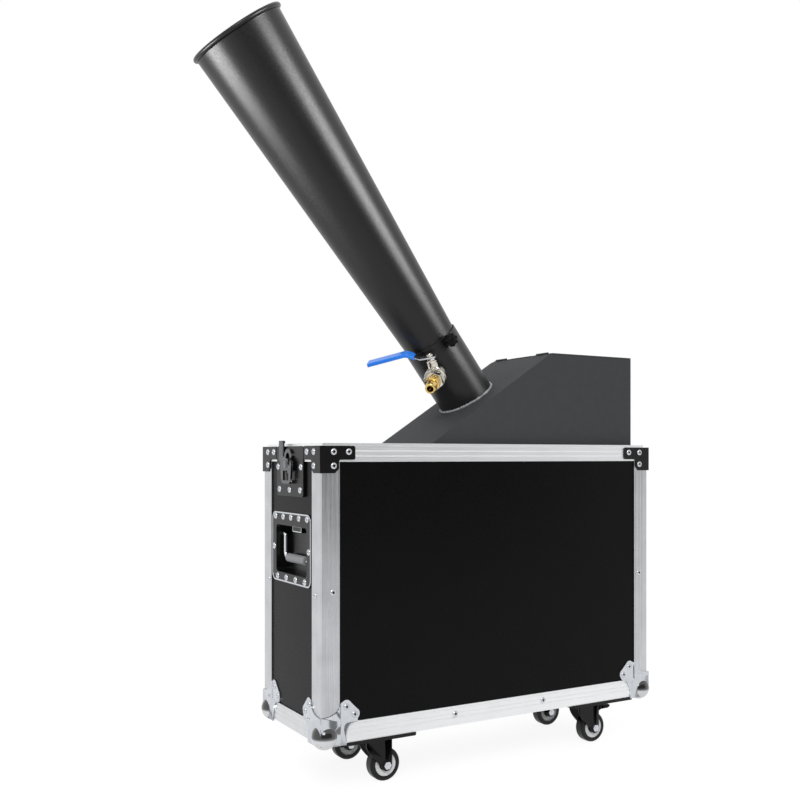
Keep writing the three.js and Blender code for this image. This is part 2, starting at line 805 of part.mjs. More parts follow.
function floorPanel() {
  const side = halfDepth - edgeInner - seat;
  return block(
    [edgeInner + seat, -side, panelFace],
    [caseLength - edgeInner - seat, side, panelFace + panelThickness],
  );
}

// Deck and hopper, with Z = 0 at the case's underside
const deckTop = caseHeight - deckDrop;
const slopeRun = Math.tan(THREE.MathUtils.degToRad(hopperSlope));
const lidTop = caseHeight + hopperRise;
const hopperTop = lidTop - lidSheet - seat;
const ridge = hopperToe + hopperRise / slopeRun;

function slopeHeight(x) {
  return caseHeight + (x - hopperToe) * slopeRun;
}

function slopePlace(height) {
  return hopperToe + (height - caseHeight) / slopeRun;
}

function deckPlate() {
  const [end, side] = [edgeInner + seat, halfDepth - edgeInner - seat];
  const tray = block([end, -side, deckTop - deckSkirt], [caseLength - end, side, deckTop]);
  const inside = block(
    [end + deckSheet, -side + deckSheet, deckTop - deckSkirt - overrun],
    [caseLength - end - deckSheet, side - deckSheet, deckTop - deckSheet],
  );
  return cut(tray, inside);
}

// The hopper's side view, drawn in by a wall: the slope moves square to itself.
function hopperOutline(wall, low) {
  const along = wall / Math.sin(THREE.MathUtils.degToRad(hopperSlope));
  const top = hopperTop - wall;
  return outline([
    [slopePlace(low) + along, low],
    [hopperRear - wall, low],
    [hopperRear - wall, top],
    [slopePlace(top) + along, top],
  ]);
}

function hopperPrism(wall, low) {
  const width = hopperWidth - 2 * wall;
  return laid(extruded(hopperOutline(wall, low), width), axes.x, axes.z).translate(0, width / 2, 0);
}

const tubeTurn = THREE.MathUtils.degToRad(barrelElevation - 90);
const tubeBase = new THREE.Vector3(barrelBase, 0, slopeHeight(barrelBase));

function alongTube(geometry) {
  return geometry.rotateY(tubeTurn).translate(...tubeBase.toArray());
}

function hingeAt(parts) {
  return [-1, 1].flatMap((side) =>
    parts().map((part) => part.translate(ridge, side * hingeSpread / 2, hopperTop)));
}

function hopperHinges() {
  const outer = hingeLength / 2;
  const inner = hingeMiddle / 2 + seat;
  const lift = lidSheet + seat;
  return hingeAt(() => [
    barAlongY(hingeBarrel, -outer, -inner).translate(0, 0, lift),
    barAlongY(hingeBarrel, inner, outer).translate(0, 0, lift),
    barAlongY(hingePin, -outer, outer).translate(0, 0, lift),
    block([-hingeBarrel, -outer, -hopperSheet / 2], [0, -inner, lift]),
    block([-hingeBarrel, inner, -hopperSheet / 2], [0, outer, lift]),
  ]);
}

function hopperBody() {
  const low = deckTop + seat;
  const side = hopperWidth / 2 + hopperFlange;
  const flange = block([slopePlace(low) - hopperFlange, -side, low], [hopperRear, side, low + hopperSheet]);
  const filler = block(
    [ridge + fillerMargin, fillerMargin - hopperWidth / 2, hopperTop - hopperRise / 2],
    [hopperRear - fillerMargin, hopperWidth / 2 - fillerMargin, hopperTop + overrun],
  );
  const tubeHole = alongTube(bar(collarInner - barrelWall, -collarOuter, collarOuter, roundSides));
  const shell = join(hopperPrism(0, low), flange);
  return join(cut(shell, hopperPrism(hopperSheet, low - overrun), filler, tubeHole), ...hopperHinges());
}

function fillerLid() {
  const low = hopperTop + seat;
  const clear = hingeBarrel + seat;
  const lift = lidSheet + seat;
  const plate = block([ridge, -hopperWidth / 2, low], [hopperRear, hopperWidth / 2, low + lidSheet]);
  const recesses = hingeAt(() => [
    block([-clear, -hingeLength / 2 - seat, -overrun], [clear, hingeLength / 2 + seat, clear + lift]),
  ]);
  const half = hingeMiddle / 2;
  const knuckles = hingeAt(() => [
    barAlongY(hingeBarrel, -half, half).translate(0, 0, lift),
    block([0, -half, seat], [clear + lidSheet, half, lift]),
  ]);
  const bore = () => barAlongY(hingePin + seat, -hingeLength, hingeLength).translate(0, 0, lift);
  const bores = hingeAt(() => [bore()]);
  return cut(join(cut(plate, ...recesses), ...knuckles), ...bores);
}

// Collar, barrel and knob, drawn with the barrel's axis on Z and Z = 0 where it meets the slope
const slopeLean = THREE.MathUtils.degToRad(90 - barrelElevation - hopperSlope);
const knobHeight = collarHeight - knobDrop;

// Everything on the hopper's side of the slope, a seat's gap proud of it.
function belowSlope() {
  const wide = 2 * mouthLip;
  return block([-wide, -wide, -wide], [wide, wide, seat]).rotateY(slopeLean);
}

// Bars that point out of the barrel, towards the valve or towards the front
const valveTurn = THREE.MathUtils.degToRad(valveSwing);

function towardsValve(geometry) {
  return geometry.rotateZ(valveTurn).translate(0, 0, valveHeight);
}

function collar() {
  const low = -collarOuter;
  const wall = [
    [collarInner, low],
    [collarOuter, low],
    [collarOuter, collarHeight],
    [collarInner, collarHeight],
    [collarInner, low],
  ];
  const root = (collarInner + collarOuter) / 2;
  const bead = [
    [root, seat],
    [collarOuter + collarWeld, seat],
    [root, 2 * collarWeld],
    [root, seat],
  ];
  const weld = revolved(bead, wideSides).rotateY(slopeLean);
  const nut = barAlongY(knobNut, -collarOuter - knobNutHeight, -collarInner - seat, hexSides)
    .translate(0, 0, knobHeight);
  const valveHole = towardsValve(barAlongX(nozzleRadius + seat, 0, 2 * collarOuter));
  const knobHole = barAlongY(knobStud + seat, -2 * collarOuter, 0).translate(0, 0, knobHeight);
  return cut(join(cut(revolved(wall, wideSides), belowSlope()), weld, nut), valveHole, knobHole);
}

function barrel() {
  const spigot = collarInner - spigotGap;
  const mouth = collarHeight + barrelLength;
  const roll = mouthRoll / 2;
  const rollCentre = [mouthLip - roll, mouth - roll];
  const rolled = [];
  for (let step = 0; step <= 2 * arcSteps; step += 1) {
    const angle = -Math.PI / 2 + (step / (2 * arcSteps)) * Math.PI;
    rolled.push([rollCentre[0] + roll * Math.cos(angle), rollCentre[1] + roll * Math.sin(angle)]);
  }
  const section = [
    [spigot - barrelWall, collarHeight - spigotDepth],
    [spigot, collarHeight - spigotDepth],
    [spigot, collarHeight + seat],
    [mouthRadius, mouth - mouthRoll],
    ...rolled,
    [mouthRadius, mouth],
    [mouthRadius - barrelWall, mouth - roll],
    [spigot - barrelWall, collarHeight],
    [spigot - barrelWall, collarHeight - spigotDepth],
  ];
  return join(revolved(section, wideSides));
}

function lockingKnob() {
  const points = [];
  const steps = 4 * knobLobes;
  for (let step = 0; step < steps; step += 1) {
    const angle = (step / steps) * 2 * Math.PI;
    const radius = knobRadius - knobLobe + knobLobe * Math.cos(knobLobes * angle);
    points.push([radius * Math.cos(angle), radius * Math.sin(angle)]);
  }
  const face = collarOuter + knobNutHeight + seat;
  const head = extruded(outline(points), knobDepth).translate(0, 0, face);
  const crown = bar(knobRadius - 3 * knobLobe, face + knobDepth / 2, face + knobDepth + knobLobe, roundSides);
  const stud = bar(knobStud, collarOuter - knobBackedOff, face + knobDepth / 2);
  return join(head, crown, stud).rotateX(Math.PI / 2).translate(0, 0, knobHeight);
}

// Ball valve, drawn with its pipe axis on X from the barrel's axis outwards and its stem along Z
function valveBody() {
  const neck = barAlongX(valveNeckRadius, valveStart, valveNeckEnd + overrun, hexSides);
  const bell = barAlongX(valveBellRadius, valveNeckEnd, valveBellEnd, roundSides);
  const hex = barAlongX(valveHexRadius, valveBellEnd - overrun, valveEnd, hexSides);
  const bonnet = bar(bonnetRadius, 0, bonnetHeight, roundSides).translate(valveBallCentre, 0, 0);
  const gland = bar(glandRadius, bonnetHeight - overrun, glandHeight, hexSides)
    .translate(valveBallCentre, 0, 0);
  const flow = barAlongX(valveBore, valveStart - overrun, valveEnd + overrun);
  const inletStart = valveEnd - nippleLipLength;
  const inlet = barAlongX(nippleShankRadius + seat, inletStart, valveEnd + overrun, roundSides);
  const chamber = sphere(ballSeatRadius + ballGap, valveBallCentre, 0, 0);
  const stemHole = bar(stemRadius + seat, 0, glandHeight + overrun).translate(valveBallCentre, 0, 0);
  return cut(join(neck, bell, hex, bonnet, gland), flow, inlet, chamber, stemHole);
}

const leverLevel = glandHeight + seat;
const nutLevel = leverLevel + leverSheet + seat;

function valveStem() {
  const ball = sphere(ballSeatRadius, 0, 0, 0);
  const port = barAlongY(valveBore, -2 * ballSeatRadius, 2 * ballSeatRadius);
  const stem = bar(stemRadius, ballSeatRadius - overrun, nutLevel + overrun);
  const nut = bar(nutRadius, nutLevel, nutLevel + nutHeight, hexSides);
  return join(cut(ball, port), stem, nut).translate(valveBallCentre, 0, 0);
}

// The lever's side view runs out along -Y: flat over the stem, up to a bend, then down a little to its tip.
function leverBar(grow) {
  const [low, high] = [leverLevel - grow, leverLevel + leverSheet + grow];
  const width = leverWidth + 2 * grow;
  const profile = outline([
    [leverHeel, low],
    [leverHeel, high],
    [-leverRunOut, high],
    [-leverBend, high + leverRaise],
    [-leverLength - grow, high + leverTipRaise],
    [-leverLength - grow, low + leverTipRaise],
    [-leverBend, low + leverRaise],
    [-leverRunOut, low],
  ]);
  return laid(extruded(profile, width), axes.y, axes.z).translate(-width / 2, 0, 0);
}

function valveLever() {
  const hole = bar(stemRadius + seat, 0, 2 * nutLevel);
  return cut(leverBar(0), hole).translate(valveBallCentre, 0, 0);
}

// The sleeve starts on the rise and follows the lever over its bend.
function leverSleeve() {
  const end = leverLength + sleeveWall + seat;
  const middle = leverLevel + leverSheet / 2;
  const startRaise = (leverRaise * (sleeveStart - leverRunOut)) / (leverBend - leverRunOut);
  const [low, high] = [middle - sleeveThickness / 2, middle + sleeveThickness / 2];
  const profile = outline([
    [-sleeveStart, low + startRaise],
    [-sleeveStart, high + startRaise],
    [-leverBend, high + leverRaise],
    [-end, high + leverTipRaise],
    [-end, low + leverTipRaise],
    [-leverBend, low + leverRaise],
  ]);
  const pad = laid(extruded(profile, sleeveWidth), axes.y, axes.z).translate(-sleeveWidth / 2, 0, 0);
  return cut(pad, leverBar(seat)).translate(valveBallCentre, 0, 0);
}

function brassNipple() {
  const shankStart = valveEnd - nippleLipLength + seat;
  const hexEnd = valveEnd + seat + nippleHexLength;
  const shank = barAlongX(nippleShankRadius, shankStart, hexEnd, roundSides);
  const hex = barAlongX(nippleHexRadius, valveEnd + seat, hexEnd, hexSides);
  const tail = barAlongX(nippleShankRadius, hexEnd - overrun, nippleEnd - nippleLipLength, roundSides);
  const lip = barAlongX(nippleLipRadius, hexEnd, nippleEnd, roundSides);
  const bore = barAlongX(nippleBore, shankStart - overrun, nippleEnd + overrun);
  return cut(join(shank, hex, tail, lip), bore);
}

function gasNozzle() {
  const pipe = barAlongX(nozzleRadius, -nozzleRadius, nozzleReach);
  const elbow = join(pipe, bar(nozzleRadius, -nozzleRadius, jetLength));
  const inlet = barAlongX(nozzleBore, -nozzleBore, nozzleReach + overrun);
  const jet = bar(nozzleBore, -nozzleBore, jetLength + overrun);
  return cut(elbow, inlet, jet);
}

// Assembly
const blower = new THREE.Group();
const machine = group(blower, 0, 0, 0);
const roadCase = group(machine, 0, 0, casterHeight);
const caseFrame = group(roadCase, 0, 0, 0);

const caseCorners = [
  { name: "front_left", x: 0, y: -halfDepth, turn: 0 },
  { name: "front_right", x: caseLength, y: -halfDepth, turn: 1 },
  { name: "back_right", x: caseLength, y: halfDepth, turn: 2 },
  { name: "back_left", x: 0, y: halfDepth, turn: 3 },
];

for (const corner of caseCorners) {
  const place = group(caseFrame, corner.x, corner.y, 0);
  place.rotation.z = (corner.turn * Math.PI) / 2;
  const post = edgeLength(edgeLeg + seat, caseHeight - rimHeight - seat);
  piece(place, `${corner.name}_post`, post, aluminium);
  piece(place, `${corner.name}_ball_corner`, ballCorner(), zincPlate);
  piece(place, `${corner.name}_brace`, topBrace().translate(0, 0, caseHeight), blackSteel);
}

const edgeRuns = [
  { name: "front", reach: caseLength, first: axes.y, second: axes.z, x: 0, y: -halfDepth },
  { name: "back", reach: caseLength, first: axes.z, second: axes.minusY, x: 0, y: halfDepth },
  { name: "left", reach: caseDepth, first: axes.z, second: axes.x, x: 0, y: -halfDepth },
  { name: "right", reach: caseDepth, first: axes.minusX, second: axes.z, x: caseLength, y: -halfDepth },
];

for (const run of edgeRuns) {
  const length = edgeLength(edgeLeg + seat, run.reach - edgeLeg - seat);
  piece(caseFrame, `${run.name}_bottom_edge`, laid(length, run.first, run.second), aluminium)
    .position.set(run.x, run.y, 0);
}
piece(caseFrame, "top_rim", mitredRing(rimSection()).translate(0, 0, caseHeight - rimHeight), aluminium);

piece(roadCase, "front_panel", longPanel(), laminate);
piece(roadCase, "back_panel", longPanel().rotateZ(Math.PI).translate(caseLength, 0, 0), laminate);
piece(roadCase, "floor_panel", floorPanel(), laminate);
piece(roadCase, "deck_plate", deckPlate(), blackSteel);

for (const end of ["left", "right"]) {
  const side = group(roadCase, end === "left" ? 0 : caseLength, 0, 0);
  side.rotation.z = end === "left" ? 0 : Math.PI;
  piece(side, `${end}_end_panel`, endPanel(), laminate);
  piece(side, `${end}_handle_dish`, handleDish(), blackSteel);
  piece(side, `${end}_handle_bail`, handleBail(), zincPlate);
  piece(side, `${end}_handle_grip`, handleGrip(), blackRubber);
  piece(side, `${end}_latch_plate`, latchPlate(), blackSteel);
  piece(side, `${end}_latch_hook`, latchHook(), blackSteel);
  piece(side, `${end}_latch_key`, latchKey(), blackSteel);
}

for (const side of ["front", "back"]) {
  for (const end of ["left", "right"]) {
    const x = end === "left" ? casterEndInset : caseLength - casterEndInset;
    const y = side === "front" ? casterFaceInset - halfDepth : halfDepth - casterFaceInset;
    const braked = end === "right";
    const place = group(machine, x, y, 0);
    const plate = end === "left" ? casterPlate() : casterPlate().rotateZ(Math.PI);
    piece(place, `${side}_${end}_caster_plate`, plate, blackSteel);
    piece(place, `${side}_${end}_caster_fork`, casterFork(braked), blackSteel);
    piece(place, `${side}_${end}_caster_wheel`, casterWheel(), blackRubber);
    if (braked) piece(place, `${side}_${end}_brake_pedal`, brakePedal(), blackPlastic);
  }
}

piece(roadCase, "hopper_body", hopperBody(), powderCoat);
piece(roadCase, "filler_lid", fillerLid(), powderCoat);

const tube = group(roadCase, tubeBase.x, tubeBase.y, tubeBase.z);
tube.rotation.y = tubeTurn;
piece(tube, "collar", collar(), powderCoat);
piece(tube, "barrel", barrel(), barrelPaint);
piece(tube, "locking_knob", lockingKnob(), blackPlastic);

const valve = group(tube, 0, 0, valveHeight);
valve.rotation.z = valveTurn;
piece(valve, "gas_nozzle", gasNozzle(), brass);
const valveHead = group(valve, 0, 0, 0);
valveHead.rotation.x = THREE.MathUtils.degToRad(-valveTilt);
piece(valveHead, "valve_body", valveBody(), nickel);
piece(valveHead, "valve_stem", valveStem(), nickel);
piece(valveHead, "valve_lever", valveLever(), zincPlate);
piece(valveHead, "lever_sleeve", leverSleeve(), blueDip);
piece(valveHead, "brass_nipple", brassNipple(), brass);

// The origin is at the middle of the whole object's base, seen from above.
blower.updateMatrixWorld(true);
const reach = new THREE.Box3().setFromObject(blower, true);
const middle = reach.getCenter(new THREE.Vector3());
machine.position.set(-middle.x, -middle.y, 0);

export default blower;
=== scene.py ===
# %% [markdown]
# A confetti blower is a gas-driven stage machine: a steel hopper of paper confetti, a long cone barrel
# and a gas valve, standing in an open road case on castors. The solid model fixes every size and place.
# This lesson dresses it: each visible piece is modelled again with soft edges and real finishes.

# %% Load the solid model
import json
import math
import random

import bmesh
import bpy
from mathutils import Matrix, Vector

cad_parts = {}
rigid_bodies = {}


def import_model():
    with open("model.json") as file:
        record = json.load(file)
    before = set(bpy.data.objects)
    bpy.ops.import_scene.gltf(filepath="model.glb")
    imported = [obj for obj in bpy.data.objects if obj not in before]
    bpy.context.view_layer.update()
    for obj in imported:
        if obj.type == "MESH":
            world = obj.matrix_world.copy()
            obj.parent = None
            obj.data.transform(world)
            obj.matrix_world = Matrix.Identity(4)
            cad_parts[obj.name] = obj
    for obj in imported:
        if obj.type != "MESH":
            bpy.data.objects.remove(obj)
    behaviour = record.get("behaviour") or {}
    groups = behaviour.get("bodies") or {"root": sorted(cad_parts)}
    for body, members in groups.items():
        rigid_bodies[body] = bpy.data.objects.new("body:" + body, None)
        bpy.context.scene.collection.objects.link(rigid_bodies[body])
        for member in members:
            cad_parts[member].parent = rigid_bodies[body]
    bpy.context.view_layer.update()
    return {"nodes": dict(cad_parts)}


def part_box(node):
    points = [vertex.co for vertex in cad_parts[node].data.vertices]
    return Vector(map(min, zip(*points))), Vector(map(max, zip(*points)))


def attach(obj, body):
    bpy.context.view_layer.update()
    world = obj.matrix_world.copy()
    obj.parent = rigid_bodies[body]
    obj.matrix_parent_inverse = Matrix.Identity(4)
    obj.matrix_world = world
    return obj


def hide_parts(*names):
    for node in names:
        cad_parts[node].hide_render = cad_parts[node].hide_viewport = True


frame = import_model()

# %% [markdown]
# A designer draws each piece in millimetres about its own origin and then sets it in place. So every
# piece below is modelled round the origin in millimetres, and a frame, which is a place with a turn,
# carries it to the machine in metres. The case's frame has its origin under the case's left end.

# %% The machine's frames
MM = 0.001
CASE_LENGTH = 620
CASE_DEPTH = 210
CASE_HEIGHT = 425
CASTER_HEIGHT = 78
FITTING_FACE = 1.8  # pressed fittings stand this far outside the edges' faces
PANEL_FACE = 2.1  # panels lie this far inside them


def frame_at(place, turn=0, axis="Z", base=Matrix.Identity(4)):
    """A frame at a place in millimetres, turned about one of its axes by an angle in degrees."""
    return base @ Matrix.Translation(Vector(place) * MM) @ Matrix.Rotation(math.radians(turn), 4, axis)


case_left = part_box("left_bottom_edge")[0].x / MM
CASE = frame_at((case_left, 0, CASTER_HEIGHT))
ENDS = {"left": CASE, "right": frame_at((CASE_LENGTH, 0, 0), 180, base=CASE)}
CORNERS = {
    "front_left": frame_at((0, -CASE_DEPTH / 2, 0), 0, base=CASE),
    "front_right": frame_at((CASE_LENGTH, -CASE_DEPTH / 2, 0), 90, base=CASE),
    "back_right": frame_at((CASE_LENGTH, CASE_DEPTH / 2, 0), 180, base=CASE),
    "back_left": frame_at((0, CASE_DEPTH / 2, 0), 270, base=CASE),
}
# Drawing on a wall: the drawing's X runs across it, its Y runs up, and its Z runs inwards.
FACING = Matrix(((0, 0, 1, 0), (1, 0, 0, 0), (0, 1, 0, 0), (0, 0, 0, 1)))
# Drawing from the side: the drawing's X stays, its Y runs up, and its Z runs towards the front.
SIDEWAYS = Matrix.Rotation(math.radians(90), 4, "X")
print("the case's left end is at", round(case_left, 2), "mm")

# %% [markdown]
# The photograph was taken from in front and a little to the left, level with the rim of the case.
# A camera at that place with the same focal length gives the same converging lines. The photographer
# kept the uprights parallel, so the camera stays level and the lens is shifted up instead.

# %% Camera
CAMERA_LEFT = 0.59  # metres to the left of the case's left end
CAMERA_FRONT = 1.3549  # metres in front of the case's middle
CAMERA_HEIGHT = 0.4875
CAMERA_TURN = 29.9  # degrees to the right of straight on
FOCAL_LENGTH = 44.06
LENS_SHIFT = 0.0707
camera_data = bpy.data.cameras.new("camera")
camera = bpy.data.objects.new("camera", camera_data)
bpy.context.scene.collection.objects.link(camera)
camera.location = (case_left * MM - CAMERA_LEFT, -CAMERA_FRONT, CAMERA_HEIGHT)
camera.rotation_euler = (math.radians(90), 0, math.radians(-CAMERA_TURN))
camera_data.sensor_width = 36
camera_data.lens = FOCAL_LENGTH
camera_data.shift_y = LENS_SHIFT
bpy.context.scene.camera = camera
bpy.context.scene.view_settings.view_transform = "Standard"

# %% [markdown]
# Blender's operators act on whatever is selected, so a tidy hand deselects first. In edit mode,
# faces and edges are then chosen by where they are or which way they look, as one would click them.

# %% Helpers for modelling by hand


def clear():
    """Leaves edit mode and deselects everything."""
    if bpy.context.mode != "OBJECT":
        bpy.ops.object.mode_set(mode="OBJECT")
    bpy.ops.object.select_all(action="DESELECT")


def take(obj):
    """Selects one object alone and makes it the active one."""
    clear()
    obj.select_set(True)
    bpy.context.view_layer.objects.active = obj
    return obj


def pick(obj, kind, test):
    """Enters edit mode with only those verts, edges or faces selected whose middle passes the test."""
    if bpy.context.mode != "EDIT_MESH":
        take(obj)
        bpy.ops.object.mode_set(mode="EDIT")
    bpy.ops.mesh.select_mode(type={"verts": "VERT", "edges": "EDGE", "faces": "FACE"}[kind])
    bpy.ops.mesh.select_all(action="DESELECT")
    mesh = bmesh.from_edit_mesh(obj.data)
    for part in getattr(mesh, kind):
        corners = [part.co] if kind == "verts" else [v.co for v in part.verts]
        if test(sum(corners, Vector()) / len(corners), part):
            part.select_set(True)
    mesh.select_flush_mode()
    bmesh.update_edit_mesh(obj.data)


def arc(x, y, radius, start, end, steps=8):
    """Points along an arc, with its angles in degrees."""
    turns = [math.radians(start + (end - start) * i / steps) for i in range(steps + 1)]
    return [(x + radius * math.cos(a), y + radius * math.sin(a)) for a in turns]


def bow(start, pull, end, steps=8):
    """Points along a curve from start to end, drawn towards a third point."""
    shares = [i / steps for i in range(steps + 1)]
    a, b, c = Vector(start), Vector(pull), Vector(end)
    return [tuple((1 - t) ** 2 * a + 2 * t * (1 - t) * b + t * t * c) for t in shares]


def rounded(width, height, radius, steps=6):
    """The outline of a rectangle with rounded corners, about the origin."""
    x, y = width / 2 - radius, height / 2 - radius
    return (arc(x, -y, radius, -90, 0, steps) + arc(x, y, radius, 0, 90, steps)
            + arc(-x, y, radius, 90, 180, steps) + arc(-x, -y, radius, 180, 270, steps))


def hexagon(radius, turn=0):
    """The outline of a hexagon about the origin, with its corners at a radius."""
    return arc(0, 0, radius, turn, turn + 300, 5)


def shifted(outline, rise, across=0):
    """An outline moved up its drawing, and across it."""
    return [(x + across, y + rise) for x, y in outline]


def drawn(name, points, closed=True):
    """A line of edges: a plane merged to one vertex, which is extruded from point to point."""
    points = [Vector(p).to_3d() for p in points]
    clear()
    bpy.ops.mesh.primitive_plane_add(size=1)
    obj = bpy.context.object
    obj.name = name
    bpy.ops.object.mode_set(mode="EDIT")
    bpy.ops.mesh.select_mode(type="VERT")
    bpy.ops.mesh.select_all(action="SELECT")
    bpy.ops.mesh.merge(type="CENTER")
    bpy.ops.transform.translate(value=points[0])
    for here, there in zip(points, points[1:] + points[:1] * closed):
        bpy.ops.mesh.extrude_region_move(TRANSFORM_OT_translate={"value": there - here})
    bpy.ops.mesh.select_all(action="SELECT")
    bpy.ops.mesh.remove_doubles(threshold=0.002)
    return obj


def plate(name, outline, low, high):
    """A flat plate: its outline is filled and the face is extruded to the plate's thickness."""
    obj = drawn(name, [(x, y, low) for x, y in outline])
    bpy.ops.mesh.edge_face_add()
    bpy.ops.mesh.extrude_region_move(TRANSFORM_OT_translate={"value": (0, 0, high - low)})
    return sealed(obj)


def turned(name, profile, steps=48, closed=False):
    """A lathe-turned piece about Z: the profile, as radius and height, is spun full circle."""
    obj = drawn(name, [(radius, 0, height) for radius, height in profile], closed)
    bpy.ops.mesh.spin(steps=steps, angle=2 * math.pi, center=(0, 0, 0), axis=(0, 0, 1))
    return sealed(obj)


def round_bar(name, radius, low, high, steps=24):
    """A round bar about Z, or a tool that cuts a hole of that size."""
    return turned(name, [(0, low), (radius, low), (radius, high), (0, high)], steps)


def sealed(obj):
    """Closes seams and poles, points the faces outwards and leaves edit mode."""
    bpy.ops.mesh.select_all(action="SELECT")
    bpy.ops.mesh.remove_doubles(threshold=0.002)
    bpy.ops.mesh.normals_make_consistent(inside=False)
    clear()
    return obj


def block(name, low, high):
    """A squared block between two corners."""
    clear()
    size = [b - a for a, b in zip(low, high)]
    middle = [(a + b) / 2 for a, b in zip(low, high)]
    bpy.ops.mesh.primitive_cube_add(size=1, location=middle, scale=size)
    bpy.context.object.name = name
    bpy.ops.object.transform_apply(location=True, rotation=True, scale=True)
    return bpy.context.object


def ball(name, radius, place, segments=32):
    """A ball about a place."""
    clear()
    bpy.ops.mesh.primitive_uv_sphere_add(
        segments=segments, ring_count=segments // 2, radius=radius, location=place)
    bpy.context.object.name = name
    bpy.ops.object.transform_apply(location=True, rotation=True, scale=True)
    return bpy.context.object


def modified(obj, kind, **settings):
    """Adds a modifier with its settings and applies it."""
    take(obj)
    modifier = obj.modifiers.new("step", kind)
    for key, value in settings.items():
        setattr(modifier, key, value)
    bpy.ops.object.modifier_apply(modifier=modifier.name)
    return obj


def dropped(*pieces):
    """Removes drawings that are no longer needed."""
    for piece in pieces:
        bpy.data.objects.remove(piece)


def combined(obj, tools, operation):
    """Joins pieces to obj or cuts them out of it, and removes them."""
    for tool in tools:
        modified(obj, "BOOLEAN", operation=operation, object=tool, solver="EXACT")
        dropped(tool)
    return obj


def welded(obj, *tools):
    """Joins pieces to obj as one closed body."""
    return combined(obj, tools, "UNION")


def pierced(obj, *tools):
    """Cuts pieces out of obj."""
    return combined(obj, tools, "DIFFERENCE")


def eased(obj, width, segments=2, angle=35):
    """Takes the sharpness off every hard edge and shades the rest smooth."""
    limit = math.radians(angle)
    if width:
        modified(obj, "BEVEL", width=width, segments=segments, limit_method="ANGLE", angle_limit=limit)
    take(obj)
    bpy.ops.object.shade_smooth_by_angle(angle=limit)
    return modified(obj, "WEIGHTED_NORMAL", keep_sharp=True)


def moved(obj, matrix):
    """Bakes a move or turn in drawing millimetres into the mesh."""
    take(obj)
    obj.matrix_world = matrix @ obj.matrix_world
    bpy.ops.object.transform_apply(location=True, rotation=True, scale=True)
    return obj


def copied(obj, name, matrix=Matrix.Identity(4)):
    """A copy with its own mesh, moved in drawing millimetres."""
    twin = obj.copy()
    twin.data = obj.data.copy()
    twin.name = name
    bpy.context.scene.collection.objects.link(twin)
    return moved(twin, matrix)


def measured(name, obj):
    """Prints the size of a drawing in millimetres."""
    print(f"{name}:", " x ".join(f"{v:.1f}" for v in obj.dimensions), "mm")


def gathered(name, pieces):
    """Joins loose pieces into one object without cutting them."""
    take(pieces[0])
    for piece in pieces:
        piece.select_set(True)
    if len(pieces) > 1:
        bpy.ops.object.join()
    bpy.context.object.name = name
    return bpy.context.object


def in_mm(place, turn=0, axis="Z"):
    """A move and a turn in drawing millimetres."""
    return Matrix.Translation(Vector(place)) @ Matrix.Rotation(math.radians(turn), 4, axis)


def dressed(obj, body, slot, material, *nodes):
    """Gives a piece its finish, hangs it on the body it rides on and hides the solids it stands for."""
    obj.data.materials.clear()
    obj.data.materials.append(material)
    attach(obj, body)
    if nodes:
        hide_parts(*nodes)
    return obj


def settled(obj, name, place, *dress):
    """Carries a finished piece from its drawing to the machine and dresses it there."""
    moved(obj, place @ Matrix.Scale(MM, 4))
    obj.name = name
    obj.data.name = name
    return dressed(obj, *dress)


def set_out(obj, name, place, *dress):
    """Settles a copy of a piece and keeps the drawing for the next place."""
    return settled(copied(obj, name), name, place, *dress)


def softened(node, width, body, slot, material):
    """A copy of a solid-model piece, with its triangles merged and its hard edges eased."""
    clear()
    obj = frame["nodes"][node].copy()
    obj.data = obj.data.copy()
    obj.name = f"{node}_soft"
    obj.parent = None
    for key in list(obj.keys()):
        del obj[key]
    bpy.context.scene.collection.objects.link(obj)
    pick(obj, "verts", lambda middle, part: True)
    bpy.ops.mesh.remove_doubles(threshold=1e-6)
    bpy.ops.mesh.dissolve_limited(angle_limit=math.radians(1))
    clear()
    eased(obj, width * MM)
    return dressed(obj, body, slot, material, node)


# %% [markdown]
# Every finish starts from what the real surface is. Colours are written as they look on a screen and
# turned to the linear values that Blender mixes. Patterns read Object coordinates, which are the
# machine's own metres, so a pattern's scale is one over its real size.

# %% Helpers for finishes


def srgb(code):
    """An sRGB hex colour as linear RGBA."""
    values = [int(code[i:i + 2], 16) / 255 for i in (1, 3, 5)]
    return [v / 12.92 if v <= 0.04045 else ((v + 0.055) / 1.055) ** 2.4 for v in values] + [1]


def node(tree, kind, inputs=None, **settings):
    """Adds a node: settings are its properties, inputs are values or the sockets that feed it."""
    new = tree.nodes.new(kind)
    for key, value in settings.items():
        setattr(new, key, value)
    for key, value in (inputs or {}).items():
        if isinstance(value, bpy.types.NodeSocket):
            tree.links.new(value, new.inputs[key])
        else:
            new.inputs[key].default_value = value
    return new


